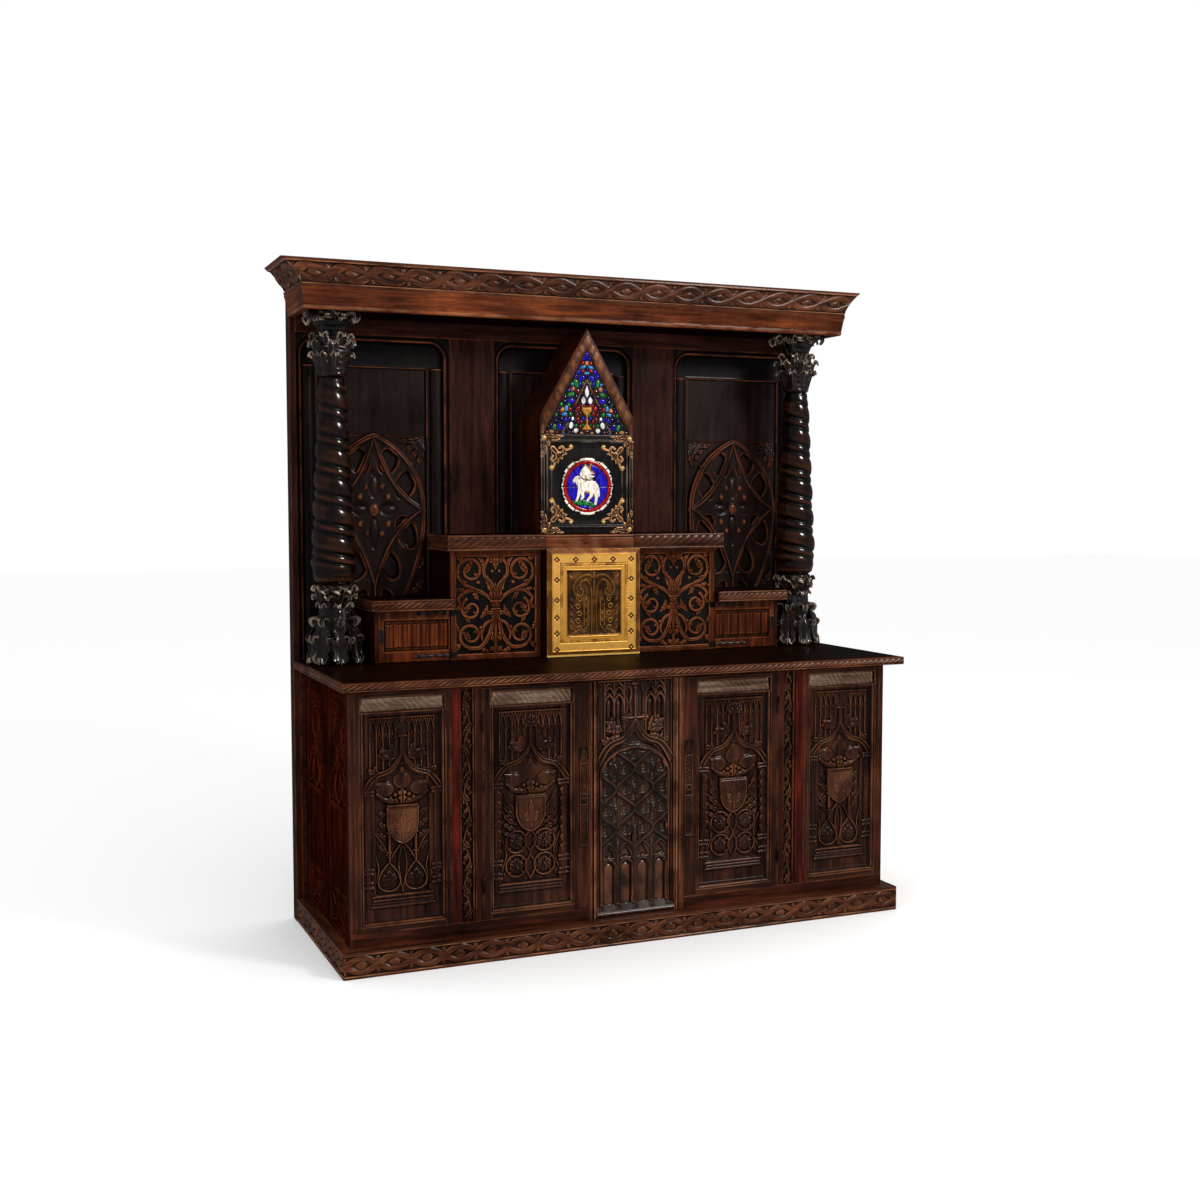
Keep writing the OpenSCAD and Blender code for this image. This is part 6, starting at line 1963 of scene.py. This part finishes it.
CORNER_BALLS = ((126, 46, 7.5), (46, 126, 7.5), (16, 16, 12), (72, 72, 5))


def square_panel():
    """A dark moulded frame round a sunk field, with gilt leaves in its outer and inner corners."""
    c = Carving(MEDAL_X, MEDAL_Z, 1.8)
    e = c.border()
    reeds = np.interp(e, [0, 3, 7, 10, 13, 17, 20, 25, 30, 34, 42, 47, 52],
                      [8, 12, 12, 8, 12, 12, 8, 12.5, 12.5, 7, 6, 9, 5.5])
    plain = np.interp(e, [0, 3, 20, 23, 30, 34, 52], [8, 9, 9, 11, 11, 7, 5.5])
    c.level(np.where(MEDAL_X[1] - np.abs(c.x) < e + 0.1, reeds, plain))
    place = facing_front(MEDAL_REACH[0])
    carved("ebonised_square", c, place, 0, wood("ebony_oak", "z"), "black_oak", ["medallion_panel"])
    gilt, balls = Carving(MEDAL_X, MEDAL_Z, 1.1), Carving(MEDAL_X, MEDAL_Z, 1.1)
    gilt.bold = 1.55
    for side in (-1, 1):
        for way, edge in ((1, MEDAL_Z[0]), (-1, MEDAL_Z[1])):
            def spots(points):
                return [(side * (MEDAL_X[1] - dx), edge + way * dz) for dx, dz in points]

            for root, tip, width, height, base, bow in CORNER_LEAVES:
                gilt.leaf(*spots((root, tip)), width, height, base, 3, bow * side * way)
            for dx, dz, r in CORNER_BOSSES:
                gilt.boss(*spots([(dx, dz)])[0], r, r, 5, 7.5)
            for points, widths in CORNER_RIBS:
                gilt.rib(bend(*spots(points)), widths, 5, 6.5, "reed")
            for dx, dz, r in CORNER_BALLS:
                balls.boss(*spots([(dx, dz)])[0], r, r, 6.4, 7.2)
    gilt.shape = np.minimum(gilt.shape, np.hypot(gilt.x, gilt.z - ROUND_CZ) - ROUND_R - 1)
    gilt.h = np.minimum(gilt.h, 13.8)
    carved("gilt_foliage", gilt, place, 4.5, GILT, "gilded_oak", pierced=True)
    balls.h = np.minimum(balls.h, 13.9)
    carved("gilt_balls", balls, place, 4.5, GOLD, "gilded_oak", pierced=True)


def disc_carving(step=0.9):
    return Carving((-ROUND_R, ROUND_R), (ROUND_CZ - ROUND_R, ROUND_CZ + ROUND_R), step)


def glass_part(name, shape, height, mat, swell=4.0):
    """One kind of glass in the roundel: wherever shape is above 0, domed at its edges."""
    c = disc_carving()
    c.shape = np.maximum(shape, -3.0)
    c.h = height - 1.2 + 1.2 * np.sqrt(np.clip(shape / swell, 0, 1))
    carved(name, c, facing_front(MEDAL_REACH[0] + 6), 0.4, mat, "roundel_glass", pierced=True)


def roundel():
    """A red ring and a blue field with a plain lamb and banner on a green mound."""
    c = disc_carving()
    x, z = c.x, c.z - ROUND_CZ
    away, turn = np.hypot(x, z), np.degrees(np.arctan2(z, x))

    def spokes(count, start, half):
        gap = np.abs((turn - start + 180 / count) % (360 / count) - 180 / count)
        return np.radians(gap) * away - half

    def outline(points):
        return whole_inside(c, [(px, pz + ROUND_CZ) for px, pz in points])

    def stroke(points, width):
        made = disc_carving()
        made.rib([(px, pz + ROUND_CZ) for px, pz in points], width, 1)
        return made.shape

    lamb = outline([(-34, 40), (-44, 40), (-51, 34), (-61, 25), (-60, 17), (-50, 15), (-43, 8), (-40, -4),
                    (-37, -18),
                    (-30, -24), (-18, -22), (-8, -26), (8, -26), (24, -24), (34, -30), (44, -34), (50, -26),
                    (50, -8),
                    (44, 6), (34, 18), (20, 24), (0, 22), (-14, 20), (-22, 26), (-28, 34)])
    for leg, width in (([(-32, -16), (-38, -38), (-46, -56)], (9, 5, 4)),
                       ([(-24, -20), (-18, -40), (-26, -50)], (8, 5, 4)),
                       ([(18, -20), (16, -36), (-1, -56)], (10, 6, 4)),
                       ([(36, -20), (38, -44), (34, -68)], (12, 6, 4.5)), ([(46, -22), (48, -36)], (6, 4)),
                       ([(-36, 34), (-28, 30)], (4, 3)), ([(-42, 26), (-24, 10)], (14, 18))):
        lamb = np.maximum(lamb, stroke(leg, width))
    banner = outline([(-8, 82), (-24, 66), (-31, 48), (-28, 34), (-14, 26), (-2, 36), (10, 44), (26, 50)])
    tail = outline([(-6, 38), (14, 44), (38, 36), (16, 32), (36, 26), (2, 24), (-6, 30)])
    pole = np.maximum(stroke([(-9, 40), (-9, 18)], 2.6), stroke([(10, 70), (14, 86)], 3))
    trim = stroke([(-8, 83), (27, 49)], 2.6)
    mound = outline([(-64, -52), (-54, -60), (-36, -56), (-20, -50), (-2, -56), (14, -60), (30, -70),
                     (32, -80), (10, -76),
                     (-14, -72), (-40, -72), (-58, -62)])
    cloth = np.maximum(banner, tail)
    gold = np.maximum(np.maximum(trim, pole), stroke([(-9, -22), (6, -22)], 3))
    white = np.minimum(np.maximum(lamb, np.minimum(cloth, -pole - 1)), -gold - 0.6)
    seam = (z < 38) & (x > -32)
    white = np.where((np.abs(cloth) < 2.0) & seam, np.minimum(white, np.abs(cloth) - 2.0), white)
    ear = stroke([(-37, 35), (-30, 24)], (2.6, 1.2))
    white = np.minimum(white, 0.2 - ear)
    figure = np.maximum(np.maximum(lamb, cloth), np.maximum(gold, mound))
    field = np.minimum(np.minimum(85 - away, spokes(8, 0, 1.6)), -figure - 2.6)
    base = disc_carving(2.0)
    base.shape = ROUND_R - 1.0 - np.hypot(base.x, base.z - ROUND_CZ)
    base.h = base.field(2.0)
    carved("roundel_leads", base, facing_front(MEDAL_REACH[0] + 6), 0, LEAD, "roundel_glass", ["medallion"],
           pierced=True)
    scallop = 106.0 + 2.4 * np.cos(np.radians(turn * 18)) - away
    diagonal = np.minimum(110.5 - away, 15 - np.abs((turn + 360) % 90 - 45))
    outer = np.minimum(np.minimum(np.maximum(scallop, diagonal), away - 101.8), spokes(18, 0, 2.6))
    bars = np.minimum(np.minimum(30 - np.abs(x), np.minimum(ROUND_R - 2 - away, np.abs(z) - 97)), away - 101)
    glass_part("roundel_white_ring", np.maximum(outer, bars), 6.0, GLASS["milk"])
    red = np.minimum(np.minimum(100 - away, away - 87.5), spokes(8, 0, 1.5))
    glass_part("roundel_red_ring", red, 6.4, GLASS["red"])
    glass_part("roundel_blue_field", field, 5.0, GLASS["blue"], 8.0)
    glass_part("roundel_mound", np.minimum(mound, -lamb - 1.2), 5.6, GLASS["green"])
    glass_part("roundel_gold", gold, 7.0, GLASS["amber"])
    body = disc_carving()
    relief = 5.2 + 2.0 * np.sqrt(np.clip(white / 12, 0, 1))
    curls = 0.35 * np.sin(x / 1.9 + 2 * np.sin(z / 4)) * np.sin(z / 2.1 + 2 * np.sin(x / 5))
    fleece = curls * (lamb > 3) * (x > -34)
    eye = np.hypot(x + 49, z - 29) < 1.8
    body.shape = np.maximum(white, -3.0)
    body.h = np.where(eye, 3.0, relief + fleece)
    carved("roundel_lamb", body, facing_front(MEDAL_REACH[0] + 6), 0.4, GLASS["milk"], "roundel_glass",
           pierced=True)


GLASS = {name: glass_colour(name + "_glass", tint, deep, painted_backlight) for name, tint, deep, painted_backlight in (
    ("blue", (26, 8, 178), (8, 2, 78), 0.10), ("navy", (10, 6, 70), (2, 1, 20), 0.04),
    ("red", (158, 3, 6), (92, 2, 3), 0.08), ("milk", (232, 226, 214), (176, 162, 150), 0.05),
    ("wine", (96, 16, 7), (36, 4, 2), 0.05),
    ("green", (22, 124, 52), (4, 52, 22), 0.08), ("sky", (50, 136, 186), (12, 66, 130), 0.08),
    ("white", (228, 230, 232), (160, 154, 152), 0.04), ("rose", (150, 100, 70), (72, 42, 26), 0.02),
    ("amber", (190, 134, 48), (110, 66, 18), 0.10))}
LEAD = metal("window_lead", (22, 20, 20), (8, 7, 7), (70, 66, 62), 0.5)
GILT = metal("old_gilding", (88, 52, 30), (20, 11, 7), (206, 152, 104), 0.30, 60.0, 0.0004, 0.6)
GOLD = metal("rubbed_gilding", (186, 128, 58), (96, 56, 26), (248, 206, 130), 0.28, 60.0, 0.0002, 0.6)
bargeboards()
leaded_glass()
square_panel()
roundel()

# ---- CAD nodes shown with their own shape --------------------------------------------------


def keep_cad_nodes():
    """Gives every CAD node that is still shown its finish, and eases its edges."""
    slots = {s["node"]: s["material_slot"] for s in frame["record"]["subparts"]}
    for node, piece in frame["nodes"].items():
        if piece.hide_render:
            continue
        kind = "frame_oak" if node in ("gable_walls", "side_box_cases") else slots[node]
        mat = wood(kind) if kind in WOODS else METALS.get(kind, IRON)
        piece.data.materials.clear()
        piece.data.materials.append(mat)
        ease = piece.modifiers.new("eased", "BEVEL")
        ease.width = 0.0008
        ease.segments = 1
        ease.limit_method = "ANGLE"


METALS = {"black_iron": IRON, "bright_brass": BRIGHT_BRASS, "aged_brass": AGED_BRASS,
          "hinge_brass": metal("hinge_bronze", (92, 66, 40), (34, 24, 16), (170, 132, 84), 0.36),
          "bolt_steel": metal("bolt_steel", (150, 148, 144), (70, 66, 62), (210, 208, 204), 0.30)}
keep_cad_nodes()
